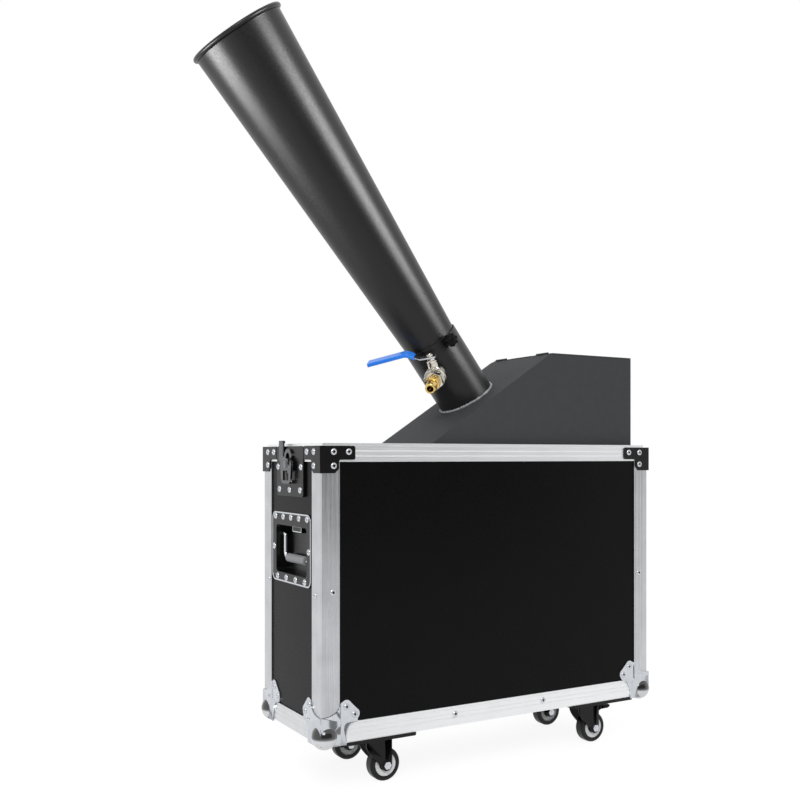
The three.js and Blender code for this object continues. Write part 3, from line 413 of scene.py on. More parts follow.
def finish(name, colour, second, patch_size, gloss, grain_size, grain_depth, stretch=(1, 1, 1), **sockets):
    """Two close colours in soft patches, uneven gloss and a grain, with their sizes in millimetres.

    The gloss is the least and the greatest roughness. Sockets are the shader's other inputs.
    """
    material = bpy.data.materials.new(name)
    material.use_nodes = True
    tree = material.node_tree
    shader = tree.nodes["Principled BSDF"]
    place = node(tree, "ShaderNodeTexCoord").outputs["Object"]
    patches = node(tree, "ShaderNodeTexNoise", {"Vector": place, "Scale": 1 / (patch_size * MM), "Detail": 4})
    mixed = node(tree, "ShaderNodeMix", {
        0: patches.outputs["Fac"], 6: srgb(colour), 7: srgb(second)}, data_type="RGBA")
    tree.links.new(mixed.outputs[2], shader.inputs["Base Color"])
    stretched = node(tree, "ShaderNodeMapping", {"Vector": place, "Scale": stretch})
    grain = node(tree, "ShaderNodeTexNoise", {
        "Vector": stretched.outputs["Vector"], "Scale": 1 / (grain_size * MM), "Detail": 3})
    roughness = node(tree, "ShaderNodeMapRange", {
        "Value": grain.outputs["Fac"], "From Min": 0.3, "From Max": 0.7,
        "To Min": gloss[0], "To Max": gloss[1]})
    tree.links.new(roughness.outputs["Result"], shader.inputs["Roughness"])
    bump = node(tree, "ShaderNodeBump", {
        "Height": grain.outputs["Fac"], "Distance": grain_depth * MM, "Strength": 1.0})
    tree.links.new(bump.outputs["Normal"], shader.inputs["Normal"])
    for key, value in sockets.items():
        shader.inputs[key.replace("_", " ")].default_value = value
    return material


# %% [markdown]
# The extruded aluminium edges are drawn through a die, which leaves fine straight lines along each
# length. So the grain is noise stretched along the way the length runs: up for the posts, across for
# the long edges and into the depth for the end edges. Each way mirrors another part of the room, and
# that reflection is painted into its colour: each way has its own two greys, and the long edges are
# painted palest.

# %% Metals
# Per way: the two greys that paint its reflection, the gloss, and the stretch of the grain.
DIE_LINES_AND_PAINTED_REFLECTION = {
    "x": ("#f0f1f2", "#f8f9fa", (0.38, 0.52), (0.01, 1, 1)),
    "y": ("#c9cbcd", "#dddfe1", (0.24, 0.4), (1, 0.01, 1)),
    "z": ("#b4b6b9", "#d2d4d7", (0.24, 0.4), (1, 1, 0.01)),
}
extruded = {
    axis: finish(f"mill_aluminium_painted_reflection_{axis}", colour, second, 30, gloss, 0.9, 0.02, stretch, Metallic=1.0)
    for axis, (colour, second, gloss, stretch) in DIE_LINES_AND_PAINTED_REFLECTION.items()
}
# Bright zinc plating over pressed steel has faint cloudy patches from the bath.
zinc = finish("bright_zinc_plate", "#d3d6da", "#bfc3c9", 12, (0.12, 0.24), 3, 0.01, Metallic=1.0)
# The bail is chrome plated over drawn rod.
chrome = finish("chrome_plate", "#dfe1e4", "#d2d5d9", 20, (0.06, 0.12), 4, 0.004, Metallic=1.0)
# The latch's hook and key are plated black nickel, which mirrors the room in sharp streaks.
black_nickel = finish("black_nickel_plate", "#6a6b6e", "#57585b", 6, (0.08, 0.16), 2, 0.006, Metallic=1.0)
# Nickel on a forged brass valve is warmer and a little uneven over the forging.
nickel = finish("nickel_plated_forging", "#dcd8cf", "#cbc6bb", 8, (0.12, 0.24), 1.2, 0.012, Metallic=1.0)
brass = finish("turned_yellow_brass", "#e4c57c", "#d6b264", 6, (0.16, 0.26), 0.8, 0.008, Metallic=1.0)

# %% [markdown]
# Black comes in many kinds here. Laminate on ply is smooth with a faint mottle, electro-coated
# fittings are slightly glossy, powder coat on the hopper is matt with a fine orange peel, and barrel
# and collar have a satin paint over rolled sheet.

# %% Paints, plastics and rubber
laminate = finish(
    "black_phenolic_laminate", "#09090a", "#0d0d0e", 45, (0.24, 0.34), 1.5, 0.006, Specular_IOR_Level=0.08)
black_coat = finish(
    "black_electro_coat", "#090909", "#0f0f10", 10, (0.22, 0.34), 1.2, 0.008, Specular_IOR_Level=0.25)
powder = finish(
    "matt_powder_coat", "#424345", "#48494b", 14, (0.6, 0.75), 1.4, 0.05, Specular_IOR_Level=0.1)
barrel_paint = finish(
    "satin_black_paint", "#0a0a0b", "#0e0e0f", 60, (0.3, 0.38), 3, 0.02, Specular_IOR_Level=0.28)
grey_rubber = finish(
    "moulded_grey_rubber", "#9a9b9d", "#8c8d90", 6, (0.4, 0.55), 1.5, 0.02, Specular_IOR_Level=0.5)
tyre_rubber = finish(
    "black_tyre_rubber", "#070707", "#0b0b0b", 6, (0.3, 0.42), 1.5, 0.01, Specular_IOR_Level=0.3)
grey_nylon = finish("light_grey_nylon", "#f0f1f2", "#e4e6e8", 8, (0.3, 0.4), 2, 0.01)
black_plastic = finish(
    "moulded_black_plastic", "#08080a", "#0b0b0c", 6, (0.4, 0.5), 1.2, 0.004, Specular_IOR_Level=0.14)
blue_dip = finish("blue_dipped_vinyl", "#2c86ff", "#3c92ff", 12, (0.2, 0.3), 4, 0.01)
# A weld bead's colour is light grey and near black in random patches.
weld_light_dark_patches = finish("weld_random_light_dark_patches", "#d2d3d4", "#18181a", 7, (0.4, 0.7), 1.2, 0.05, Metallic=0.4)

# Most fittings share one of two dresses: the slot that the record names, and the finish.
COATED = ("black_steel", black_coat)
PLATED = ("zinc_plate", zinc)

# The ball at each corner is polished chrome, with its reflection painted into its colour: a dark
# reflection where its surface faces up and a white reflection where it faces down.
chrome_painted_reflection = finish("chrome_ball_painted_reflection", "#101011", "#131314", 6, (0.05, 0.09), 2, 0.002, Coat_Weight=1.0)
tree = chrome_painted_reflection.node_tree
ball_colour = tree.nodes["Principled BSDF"].inputs["Base Color"]
outlook = node(tree, "ShaderNodeSeparateXYZ", {"Vector": node(tree, "ShaderNodeTexCoord").outputs["Normal"]})
below = node(tree, "ShaderNodeMapRange", {"Value": outlook.outputs["Z"], "From Min": 0.02, "From Max": -0.16})
# Where the surface faces down, the painted white reflection takes over.
painted_reflection_halves = node(tree, "ShaderNodeMix", {
    0: below.outputs["Result"], 6: ball_colour.links[0].from_socket, 7: srgb("#dadcde")}, data_type="RGBA")
tree.links.new(painted_reflection_halves.outputs[2], ball_colour)

# %% [markdown]
# A machine like this is photographed on white. Floor and room look white to the camera and in
# reflections, while the machine itself is lit by the lamps and by a dimmer room. The floor keeps the
# machine's soft shadow.

# %% Room and floor
ROOM_FILL = 0.55  # what the room adds to the lamps, where white is 1
FLOOR_GLOW = 1.15
FLOOR_GLOW_SHARE = 0.78  # the rest of the floor takes light and shadow as paper does


def seen_by(tree, *rays):
    """A value that is 1 for rays of the named kinds and 0 for all others."""
    path = node(tree, "ShaderNodeLightPath")
    seen = path.outputs[rays[0]]
    for ray in rays[1:]:
        seen = node(tree, "ShaderNodeMath", {0: seen, 1: path.outputs[ray]}, operation="MAXIMUM").outputs[0]
    return seen


world = bpy.data.worlds.new("white_room")
bpy.context.scene.world = world
world.use_nodes = True
room = world.node_tree
seen = seen_by(room, "Is Camera Ray", "Is Transmission Ray", "Is Glossy Ray")
level = node(room, "ShaderNodeMapRange", {"Value": seen, "To Min": ROOM_FILL, "To Max": 1.0})
room.nodes["Background"].inputs["Color"].default_value = (1, 1, 1, 1)
room.links.new(level.outputs["Result"], room.nodes["Background"].inputs["Strength"])

clear()
bpy.ops.mesh.primitive_plane_add(size=16, location=(0, 0, 0))
floor = bpy.context.object
floor.name = "floor"
paper = bpy.data.materials.new("white_paper_floor")
paper.use_nodes = True
sheet = paper.node_tree
matt = sheet.nodes["Principled BSDF"]
matt.inputs["Base Color"].default_value = srgb("#f4f4f4")
matt.inputs["Roughness"].default_value = 0.9
seen = seen_by(sheet, "Is Camera Ray", "Is Glossy Ray")
share = node(sheet, "ShaderNodeMath", {0: seen, 1: FLOOR_GLOW_SHARE}, operation="MULTIPLY")
glow = node(sheet, "ShaderNodeEmission", {"Color": (1, 1, 1, 1), "Strength": FLOOR_GLOW})
both = node(sheet, "ShaderNodeMixShader", {
    0: share.outputs[0], 1: matt.outputs["BSDF"], 2: glow.outputs["Emission"]})
sheet.links.new(both.outputs["Shader"], sheet.nodes["Material Output"].inputs["Surface"])
floor.data.materials.append(paper)
print("floor:", round(floor.dimensions.x, 1), "m wide")

# %% [markdown]
# Two soft lamps light the machine from the photographer's left and from above. A satin cylinder shows
# a lamp as a band along its length, so the barrel gets two strips of its own.

# %% Lamps and grey card
BARREL_ELEVATION = 52.4  # degrees above level
CARD_GLOW = 0.25


def lamp(name, place, target, width, height, power, along=(0, 0, 1)):
    """A soft rectangular lamp that looks at a point, with its height along a direction."""
    data = bpy.data.lights.new(name, "AREA")
    data.shape = "RECTANGLE"
    data.size = width
    data.size_y = height
    data.energy = power
    obj = bpy.data.objects.new(name, data)
    bpy.context.scene.collection.objects.link(obj)
    back = (Vector(place) - Vector(target)).normalized()
    across = Vector(along).cross(back).normalized()
    turn = Matrix((across, back.cross(across), back)).transposed()
    obj.matrix_world = Matrix.Translation(place) @ turn.to_4x4()
    return obj


lamp("key_lamp", (-1.5, -2.1, 2.1), (0, 0, 0.4), 1.2, 1.2, 38)
lamp("top_lamp", (0.2, 0.8, 2.8), (0, 0, 0.5), 2.0, 2.0, 5)

# Two long strips lie along the barrel and are linked to it alone, as a photographer would flag them
# off the rest. They draw the two light bands down its satin paint.
BARREL_WAY = (-math.cos(math.radians(BARREL_ELEVATION)), 0, math.sin(math.radians(BARREL_ELEVATION)))
tube_pieces = bpy.data.collections.new("lit_by_strips")
for strip in (lamp("right_strip", (1.17, -1.94, 1.58), (-0.13, 0, 0.85), 1.2, 1.15, 100, BARREL_WAY),
              lamp("left_strip", (-1.49, 0.2, 0.4), (-0.33, 0, 1.1), 0.9, 0.45, 48, BARREL_WAY)):
    strip.light_linking.receiver_collection = tube_pieces

# A grey card in front of the machine, which only mirrored rays meet, tones down what the flat faces
# towards the photographer reflect. Faces towards the ends still mirror the white room.
bpy.ops.mesh.primitive_plane_add(size=1, location=(-0.7, -3.0, 0.95), rotation=(math.radians(90), 0, 0))
card = bpy.context.object
card.name = "grey_card"
card.scale = (6.6, 2.6, 1)
bpy.ops.object.transform_apply(location=True, rotation=True, scale=True)
grey = bpy.data.materials.new("grey_card")
grey.use_nodes = True
shade = node(grey.node_tree, "ShaderNodeEmission", {"Color": (1, 1, 1, 1), "Strength": CARD_GLOW})
grey.node_tree.links.new(shade.outputs["Emission"], grey.node_tree.nodes["Material Output"].inputs["Surface"])
card.data.materials.append(grey)
card.visible_camera = card.visible_diffuse = card.visible_shadow = card.visible_transmission = False

# %% [markdown]
# The long barrel is rolled from sheet into a slow cone and its mouth is curled outwards over a wire,
# which stiffens it. It is turned: one profile up the outside, round the curl and down the inside, spun
# about the barrel's axis.

# %% Barrel
HOPPER_SLOPE = 33
BARREL_BASE = 315.8  # where the barrel's axis meets the slope, from the case's left end
HOPPER_TOE = 190.6
COLLAR_OUTER = 46
COLLAR_INNER = 44
COLLAR_HEIGHT = 117
SPIGOT_DEPTH = 33
SPIGOT_GAP = 0.4
BARREL_LENGTH = 543
TUBE_STEPS = 96
BARREL_WALL = 1.6
MOUTH_RADIUS = 71.5
MOUTH_LIP = 75.8
MOUTH_CURL = 3.6
CONE_END = 9  # the cone runs into the curl this far below the mouth
slope_height = CASE_HEIGHT + (BARREL_BASE - HOPPER_TOE) * math.tan(math.radians(HOPPER_SLOPE))
TUBE = frame_at((BARREL_BASE, 0, slope_height), BARREL_ELEVATION - 90, "Y", CASE)
spigot = COLLAR_INNER - SPIGOT_GAP
foot = COLLAR_HEIGHT - SPIGOT_DEPTH
mouth = COLLAR_HEIGHT + BARREL_LENGTH
curl_middle = (MOUTH_LIP - MOUTH_CURL, mouth - MOUTH_CURL)
lower_curl = arc(*curl_middle, MOUTH_CURL, -110, 0, 8)
upper_curl = arc(*curl_middle, MOUTH_CURL, 0, 150, 10)
profile = [
    (spigot - BARREL_WALL, foot), (spigot, foot), (spigot, COLLAR_HEIGHT + 0.3),
    (MOUTH_RADIUS, mouth - CONE_END), (MOUTH_RADIUS + 0.2, mouth - 7.6), *lower_curl, *upper_curl[1:],
    (MOUTH_RADIUS - BARREL_WALL, mouth - 5), (MOUTH_RADIUS - BARREL_WALL, mouth - CONE_END),
    (spigot - BARREL_WALL, COLLAR_HEIGHT),
]
barrel = eased(turned("barrel", profile, TUBE_STEPS, closed=True), 0)
settled(barrel, "barrel_tube", TUBE, "muzzle", "barrel_paint", barrel_paint, "barrel")
tube_pieces.objects.link(barrel)
print("barrel:", len(barrel.data.polygons), "faces")

# %% [markdown]
# The collar is drawn as a plain tube that reaches below the slope. A big block, leaned as the slope
# leans, then cuts its foot, and round bars cut the holes for the valve and for the knob's stud.

# %% Collar
KNOB_HEIGHT = COLLAR_HEIGHT - 7.5
VALVE_HEIGHT = 75.9
VALVE_SWING = 220
VALVE_TILT = 15.9
VALVE_HOLE = 6.8
STUD_HOLE = 3.3
REACH = 92  # a cutting bar's length, from the axis to well outside the collar
CHAMFER = 0.5
FAR = 200
low, high = COLLAR_INNER + CHAMFER, COLLAR_OUTER - CHAMFER
wall = [(COLLAR_INNER, -COLLAR_OUTER), (COLLAR_OUTER, -COLLAR_OUTER), (COLLAR_OUTER, COLLAR_HEIGHT - CHAMFER),
        (high, COLLAR_HEIGHT), (low, COLLAR_HEIGHT), (COLLAR_INNER, COLLAR_HEIGHT - CHAMFER)]
collar = turned("collar", wall, TUBE_STEPS, closed=True)
lean = in_mm((0, 0, 0), 90 - BARREL_ELEVATION - HOPPER_SLOPE, "Y")
knob_side = in_mm((0, 0, KNOB_HEIGHT), 90, "X")
valve_side = in_mm((0, 0, VALVE_HEIGHT), VALVE_SWING) @ in_mm((0, 0, 0), 90, "Y")
pierced(collar,
        moved(block("below", (-FAR, -FAR, -FAR), (FAR, FAR, 0.3)), lean),
        moved(round_bar("hole", VALVE_HOLE, 0, REACH, 32), valve_side),
        moved(round_bar("hole", STUD_HOLE, 0, REACH), knob_side))
knob_nut = moved(plate("nut", hexagon(6.5), COLLAR_OUTER - 1.5, COLLAR_OUTER + 4.5), knob_side)
pierced(knob_nut, moved(round_bar("hole", STUD_HOLE, 0, REACH), knob_side))
eased(collar, 0)
eased(knob_nut, 0.4)

# %% [markdown]
# A hand-laid weld bead is a row of overlapping ripples. One ripple is a small flattened ball, leaned
# against the collar, and its copies go round the collar's foot with slightly uneven sizes.

# %% Weld bead
WELD_RIPPLES = 92
RIPPLE_SIZE = (2.625, 2.6, 2.1)  # half its width across the bead, along it and upwards
RIPPLE_LEAN = 38
ripple = ball("ripple", 1, (0, 0, 0), 12)
moved(ripple, Matrix.Diagonal((*RIPPLE_SIZE, 1)))
moved(ripple, in_mm((0, 0, 0), RIPPLE_LEAN, "Y"))
random.seed(7)
ripples = []
for i in range(WELD_RIPPLES):
    size = Matrix.Scale(random.uniform(0.72, 1.08), 4)
    place = in_mm((0, 0, 0), 360 * i / WELD_RIPPLES) @ in_mm((COLLAR_OUTER + 1.1, 0, 1.5)) @ size
    ripples.append(copied(ripple, "ripple", lean @ place))
dropped(ripple)
bead = eased(gathered("bead", ripples), 0, angle=80)
collar = gathered("collar", [collar, knob_nut])
settled(collar, "collar_tube", TUBE, "root", "barrel_paint", barrel_paint, "collar")
tube_pieces.objects.link(collar)
settled(bead, "collar_weld", TUBE, "root", "powder_coat", weld_light_dark_patches)
print("weld bead:", len(ripples), "ripples")

# %% [markdown]
# A tubular rivet has a low dome with a dimple in the middle. A black disc set in the dimple is painted
# shade, which shows as a dark dot in a bright ring. It is turned once, and every fitting gets its
# copies. The wood screws have a cross recess.

# %% Rivets and screws
rivet_profile = [
    (0, 0.2), (1.7, 0.2), (1.8, 1.5), (2.3, 1.9), (3.4, 1.7), (4.4, 1.0), (4.9, 0.2), (4.9, -0.3), (0, -0.3)]
rivet = eased(turned("rivet", rivet_profile, 24), 0, angle=50)
# A black disc that sits in the rivet's dimple as painted shade.
rivet_dimple_shade = round_bar("bore", 1.75, 0.9, 0.1, 20)
screw = turned("screw", [(0, 1.5), (1.6, 1.4), (2.8, 0.9), (3.4, 0.1), (3.4, -0.3), (0, -0.3)], 20)
pierced(screw, block("slot", (-2, -0.4, 0.7), (2, 0.4, 3)), block("slot", (-0.4, -2, 0.7), (0.4, 2, 3)))
eased(screw, 0, angle=50)
FRONT = in_mm((0, 0, 0), 90, "X")  # from a flat drawing to one that looks towards -Y
LEFT = in_mm((0, 0, 0), -90, "Y")  # to one that looks towards -X
OUTWARDS = in_mm((0, 0, 0), 180, "Y")  # to one on a wall that looks out of it


def row_of(fastener, name, places, base):
    """Zinc-plated copies of one fastener as one piece: each place is a point and the way it looks."""
    places = [in_mm(point) @ look for point, look in places]
    pieces = [copied(fastener, name, place) for place in places]
    # Each rivet also gets a black disc in its dimple, as painted shade.
    if fastener is rivet:
        dimple_shades = [copied(rivet_dimple_shade, "bore", place) for place in places]
        settled(gathered("dimple_shades", dimple_shades), f"{name}_bores", base, "root", *COATED)
    return settled(gathered(name, pieces), name, base, "root", *PLATED)


measured("rivet", rivet)

# %% [markdown]
# Ball corners are pressed from steel sheet: two legs over the edges, wings cranked down on to the
# panels, and a ball at the very corner that takes the knocks. Each face starts as a flat blank whose
# wing is pressed down, and gets its thickness as sheet. The sharp faces are welded first and eased
# last, because eased edges that meet leave slivers. A round hollow in them then takes the ball.

# %% Ball corners
BALL_RADIUS = 19
BALL_INSET = 11
SHEET = 1.5
WING_BEND = (30.3, 32.3)  # between these lines the sheet slopes down to the wing
CRANK = PANEL_FACE
OUT = -FITTING_FACE
SIDE_FACE = Matrix(((0, 0, -1, 0), (0, 1, 0, 0), (1, 0, 0, 0), (0, 0, 0, 1)))  # a quarter turn about Y


def corner_blank(name):
    """One face of the corner, with its legs over the edges and its wing cranked on to the panel."""
    wings = arc(53.5, 40.5, 8.5, -45, 60) + arc(40.5, 53.5, 8.5, 30, 135)
    outline = [
        (OUT, OUT), *bow((40, OUT), (40, 30), (58, 30.3)), *wings, *bow((30.3, 58), (30, 40), (OUT, 40))]
    blank = drawn(name, [(x, y, 2 * FITTING_FACE) for x, y in outline])
    bpy.ops.mesh.edge_face_add()
    for line in WING_BEND:
        for way in ((1, 0, 0), (0, 1, 0)):
            bpy.ops.mesh.select_all(action="SELECT")
            bpy.ops.mesh.bisect(plane_co=tuple(line * v for v in way), plane_no=way)
    pick(blank, "verts", lambda middle, part: middle.x > 32.2 and middle.y > 32.2)
    bpy.ops.transform.translate(value=(0, 0, -CRANK))
    sealed(blank)
    return modified(blank, "SOLIDIFY", thickness=SHEET, offset=-1)


def ball_corner():
    """The whole corner about the case's corner."""
    face = corner_blank("face")
    front = copied(face, "front", in_mm((0, FITTING_FACE, 0)) @ FRONT)
    end = copied(face, "end", in_mm((FITTING_FACE, 0, 0)) @ SIDE_FACE)
    dropped(face)
    foot = [(-SHEET, -SHEET), (28, -SHEET), (28, 14), (14, 28), (-SHEET, 28)]
    whole = welded(front, end, plate("bottom", foot, OUT, OUT + SHEET))
    spur = block("spur", (-3.8, -3.8, -3.8), (BALL_INSET,) * 3)
    pierced(spur, ball("root", BALL_RADIUS - 0.7, (BALL_INSET,) * 3, 40))
    pierced(whole, spur)
    dome = ball("dome", BALL_RADIUS, (BALL_INSET,) * 3, 48)
    pierced(dome, block("inside", (-0.3,) * 3, (49,) * 3))
    return eased(whole, 0.4), eased(dome, 0)


corner, dome = ball_corner()
corner_rivets = []
for x, y in ((41, 52), (54, 40)):
    corner_rivets += [((x, 0.3, y), FRONT), ((0.3, x, y), LEFT)]
for name, place in CORNERS.items():
    set_out(corner, f"{name}_corner", place, "root", *PLATED, f"{name}_ball_corner")
    set_out(dome, f"{name}_ball", place, "root", "zinc_plate", chrome_painted_reflection)
    row_of(rivet, f"{name}_corner_rivets", corner_rivets, place)
dropped(corner, dome)
print("ball corners:", len(CORNERS))

# %% [markdown]
# The braces at the top are black pressed angles. The two flat faces are welded along the corner, and
# the corner's own edge is rounded with an edit-mode bevel before the rest is eased.

# %% Top braces
BRACE_ACROSS = 51  # to the middle of its rounded corners
brace_outline = [
    *arc(OUT + 0.5, -0.5, 0.5, 180, 90, 2), *arc(BRACE_ACROSS, -3, 3, 90, 0, 5),
    *arc(BRACE_ACROSS, -17, 3, 0, -90, 5), *arc(31, -23, 3, 90, 180, 5), (28, -32.5), (21.5, -39), (OUT, -39)]
brace_front = moved(plate("front", brace_outline, 0, SHEET), in_mm((0, -0.3, 0)) @ FRONT)
brace_end = moved(plate("end", brace_outline, 0, SHEET), in_mm((OUT, 0, 0)) @ FACING)
brace = welded(brace_front, brace_end)
pick(brace, "edges", lambda middle, part: (
    max(middle.xy) < OUT + 0.1 and abs(part.verts[0].co.z - part.verts[1].co.z) > 9))
bpy.ops.mesh.bevel(offset=1.2, segments=4)
clear()
eased(brace, 0.35)
brace_rivets = []
for along, height in ((19.7, -8.6), (43.6, -8.6), (19.7, -28.6)):
    brace_rivets += [((along, OUT, height), FRONT), ((OUT, along, height), LEFT)]
for name, place in CORNERS.items():
    top = frame_at((0, 0, CASE_HEIGHT), base=place)
    set_out(brace, f"{name}_angle", top, "root", *COATED, f"{name}_brace")
    row_of(rivet, f"{name}_brace_rivets", brace_rivets, top)
dropped(brace)
print("rivets in a brace:", len(brace_rivets))

# %% [markdown]
# The aluminium lengths, the hopper, its lid and the deck have the right shape in the solid model. Each
# is copied and its hard edges are eased by a fraction of a millimetre, because a perfectly sharp edge
# never catches light the way a real one does.

# %% Aluminium lengths, hopper and deck
# Each way of length gets the finish whose greys paint its reflection.
for name in CORNERS:
    softened(f"{name}_post", 0.25, "root", "aluminium_edge", extruded["z"])
for name, axis in (("front", "x"), ("back", "x"), ("left", "y"), ("right", "y")):
    softened(f"{name}_bottom_edge", 0.25, "root", "aluminium_edge", extruded[axis])
softened("top_rim", 0.25, "root", "aluminium_edge", extruded["x"])
softened("hopper_body", 0.7, "root", "powder_coat", powder)
softened("filler_lid", 0.5, "lid", "powder_coat", powder)
softened("deck_plate", 0.6, "root", *COATED)
for name in ("front", "back", "floor", "left_end", "right_end"):
    panel = frame["nodes"][f"{name}_panel"]
    panel.data.materials.clear()
    panel.data.materials.append(laminate)
    print(panel.name, "is flat ply and keeps its solid")

# %% [markdown]
# The recessed handle is a pressed dish with a rod bail that springs back into it. The dish is drawn on
# the end wall: a rounded flange, a rounded box behind it, and the pocket cut out of both. A thin zinc
# line along its rim and along the spring cover's frame is a painted highlight on those pressed edges.

# %% Handle dishes
DISH_MIDDLE = 272
POCKET_MIDDLE = DISH_MIDDLE - 3
POCKET_TOP = POCKET_MIDDLE + 36
BAIL_PIVOT = POCKET_TOP - 14
BAIL_PLANE = PANEL_FACE + 9
DISH_BACK = 19.8
dish = plate("dish", shifted(rounded(143, 107, 12), DISH_MIDDLE), 0.3, 0.3 + SHEET)
shell = plate("shell", shifted(rounded(112 + 2 * SHEET, 72 + 2 * SHEET, 7.5), POCKET_MIDDLE), 0.6, DISH_BACK)
pocket = plate("pocket", shifted(rounded(112, 72, 6), POCKET_MIDDLE), -2, DISH_BACK - SHEET)
pierced(welded(dish, shell), pocket)
cover = block("cover", (-17, POCKET_TOP - 10, 10.3), (17, POCKET_TOP + 0.75, 19))
eased(welded(dish, cover), 0.5)


def outlined(name, width, height, radius, middle, low, high, line=2.2):
    """A flat ring along a rounded rectangle, for a painted highlight along a pressed edge."""
    ring = plate(name, shifted(rounded(width, height, radius), middle), low, high)
    inside = shifted(rounded(width - 2 * line, height - 2 * line, max(radius - line, 0.5)), middle)
    return eased(pierced(ring, plate("inside", inside, low - 2, high + 2)), 0.15)


# Zinc lines that paint the highlights along the dish's rim and the cover's frame.
painted_edge_highlights = gathered("painted_edge_highlights", [outlined("rim", 142, 106, 11.5, DISH_MIDDLE, 0, 0.5),
                         outlined("frame", 32, 9, 1.5, POCKET_TOP - 5, 10, 10.5, 1.4)])
measured("dish", dish)

# %% [markdown]
# The bail is one rod with four bends. A round face is pushed along the rod's way and spun through
# each bend. The grip is a turned sleeve on it, with shallow grooves that keep a hand from slipping.

# %% Bails and grips
BAIL_HALF = 57.2
LEG = 44
DROP = 36
BEND = 8
END_BEND = 4
GRIP_HALF = 31
GRIP_RADIUS = 6.7
GROOVE_RADIUS = 6.2
GROOVE_PITCH = 4.6


def bent_rod(name, radius, moves, steps=6):
    """A round rod from the origin along X: each move is a length, then a bend's angle and radius."""
    clear()
    bpy.ops.mesh.primitive_circle_add(vertices=16, radius=radius, fill_type="NGON")
    rod = bpy.context.object
    rod.name = name
    moved(rod, in_mm((0, 0, 0), 90, "Y"))
    pick(rod, "faces", lambda middle, part: True)
    here, way = Vector((0, 0, 0)), Vector((1, 0, 0))
    for length, angle, bend_radius in moves:
        bpy.ops.mesh.extrude_region_move(TRANSFORM_OT_translate={"value": way * length})
        here = here + way * length
        if angle:
            side = Matrix.Rotation(math.radians(math.copysign(90, angle)), 3, "Y") @ way
            centre = here + side * bend_radius
            bpy.ops.mesh.spin(steps=steps, angle=-math.radians(angle), center=centre, axis=(0, 1, 0))
            turn = Matrix.Rotation(math.radians(angle), 3, "Y")
            here = centre + turn @ (here - centre)
            way = turn @ way
    return sealed(rod)


pivot_end = (BAIL_HALF - LEG - END_BEND, 90, END_BEND)
straight = DROP - BEND - END_BEND
bail = bent_rod("bail", 3, [
    pivot_end, (straight, -90, BEND), (2 * (LEG - BEND), -90, BEND), (straight, 90, END_BEND),
    (pivot_end[0], 0, 0)])
eased(moved(bail, in_mm((-BAIL_HALF, 0, 0))), 0.3)
measured("bail", bail)
grip_profile = [(3.3, -GRIP_HALF), (6, -GRIP_HALF), (GRIP_RADIUS, 1 - GRIP_HALF)]
for i in range(-6, 6):
    start = GROOVE_PITCH * i
    grip_profile += [(GRIP_RADIUS, start + 0.6), (GROOVE_RADIUS, start + 1.4),
                     (GROOVE_RADIUS, start + 3.2), (GRIP_RADIUS, start + 4.0)]
grip_profile += [(GRIP_RADIUS, GRIP_HALF - 1), (6, GRIP_HALF), (3.3, GRIP_HALF)]
grip = eased(turned("grip", grip_profile, 32, closed=True), 0)
moved(grip, in_mm((0, 0, 0), 90, "Y"))
dish_rivets = [((x, 318, 0.3), OUTWARDS) for x in (-58, -29, 0, 29, 58)]
dish_rivets += [((x, 226, 0.3), OUTWARDS) for x in (-50, -17, 17, 50)]
dish_rivets += [((x, 271, 0.3), OUTWARDS) for x in (-64, 64)]
for end, place in ENDS.items():
    wall_frame = place @ FACING
    handle = f"{end}_handle"
    set_out(dish, f"{end}_dish", wall_frame, "root", *COATED, f"{handle}_dish")
    set_out(painted_edge_highlights, f"{end}_dish_painted_highlights", wall_frame, "root", "black_steel", zinc)
    pivot = frame_at((0, BAIL_PIVOT, BAIL_PLANE), base=wall_frame) @ in_mm((0, 0, 0), -90, "X")
    set_out(bail, f"{end}_bail", pivot, handle, "bright_zinc", chrome, f"{handle}_bail")
    low = frame_at((0, BAIL_PIVOT - DROP, BAIL_PLANE), base=wall_frame)
    set_out(grip, f"{end}_grip", low, handle, "grip_rubber", grey_rubber, f"{handle}_grip")
    row_of(rivet, f"{end}_dish_rivets", dish_rivets, wall_frame)
dropped(dish, painted_edge_highlights, bail, grip)

# %% [markdown]
# The butterfly latch has a pressed plate, a hook that rides up and down in guides, and a folding key
# that turns its spindle. The plate comes from the solid model. Hook and key have round eyes that want
# finer curves, so they are drawn again.

# %% Latches
SPINDLE = CASE_HEIGHT - 27
LATCH_PLATE = 3  # hook and key are as thick as this
LATCH_GAP = 0.3
HOOK_BACK = -FITTING_FACE - LATCH_GAP
HOOK_OUTER = HOOK_BACK - LATCH_PLATE
KEY_OUTER = HOOK_OUTER - LATCH_GAP - LATCH_PLATE
EYE_DRAW = 10  # how far the hook's eye is longer than it is wide
arm = [(33.5, SPINDLE + 6.65), (33.5, CASE_HEIGHT + 7.6), (32.5, CASE_HEIGHT + 8.6),
       (19.5, CASE_HEIGHT + 8.6), (18.5, CASE_HEIGHT + 7.6), (18.5, SPINDLE + 13.3)]
strap = arc(0, SPINDLE, 13.3, 180, 330, 14) + arm + arc(0, SPINDLE + EYE_DRAW, 13.3, 0, 180, 16)
eye = arc(0, SPINDLE, 7.3, 180, 360, 16) + arc(0, SPINDLE + EYE_DRAW, 7.3, 0, 180, 16)
hook = plate("hook", strap, HOOK_OUTER, HOOK_OUTER + LATCH_PLATE)
pierced(hook, plate("eye", eye, HOOK_OUTER - 2, HOOK_OUTER + 5))
barb_foot, barb_top = (18.9, CASE_HEIGHT + 4.6, HOOK_OUTER + 1), (33.1, CASE_HEIGHT + 8.2, HOOK_OUTER + 4.4)
welded(hook, block("barb", barb_foot, barb_top))
eased(hook, 0.4)
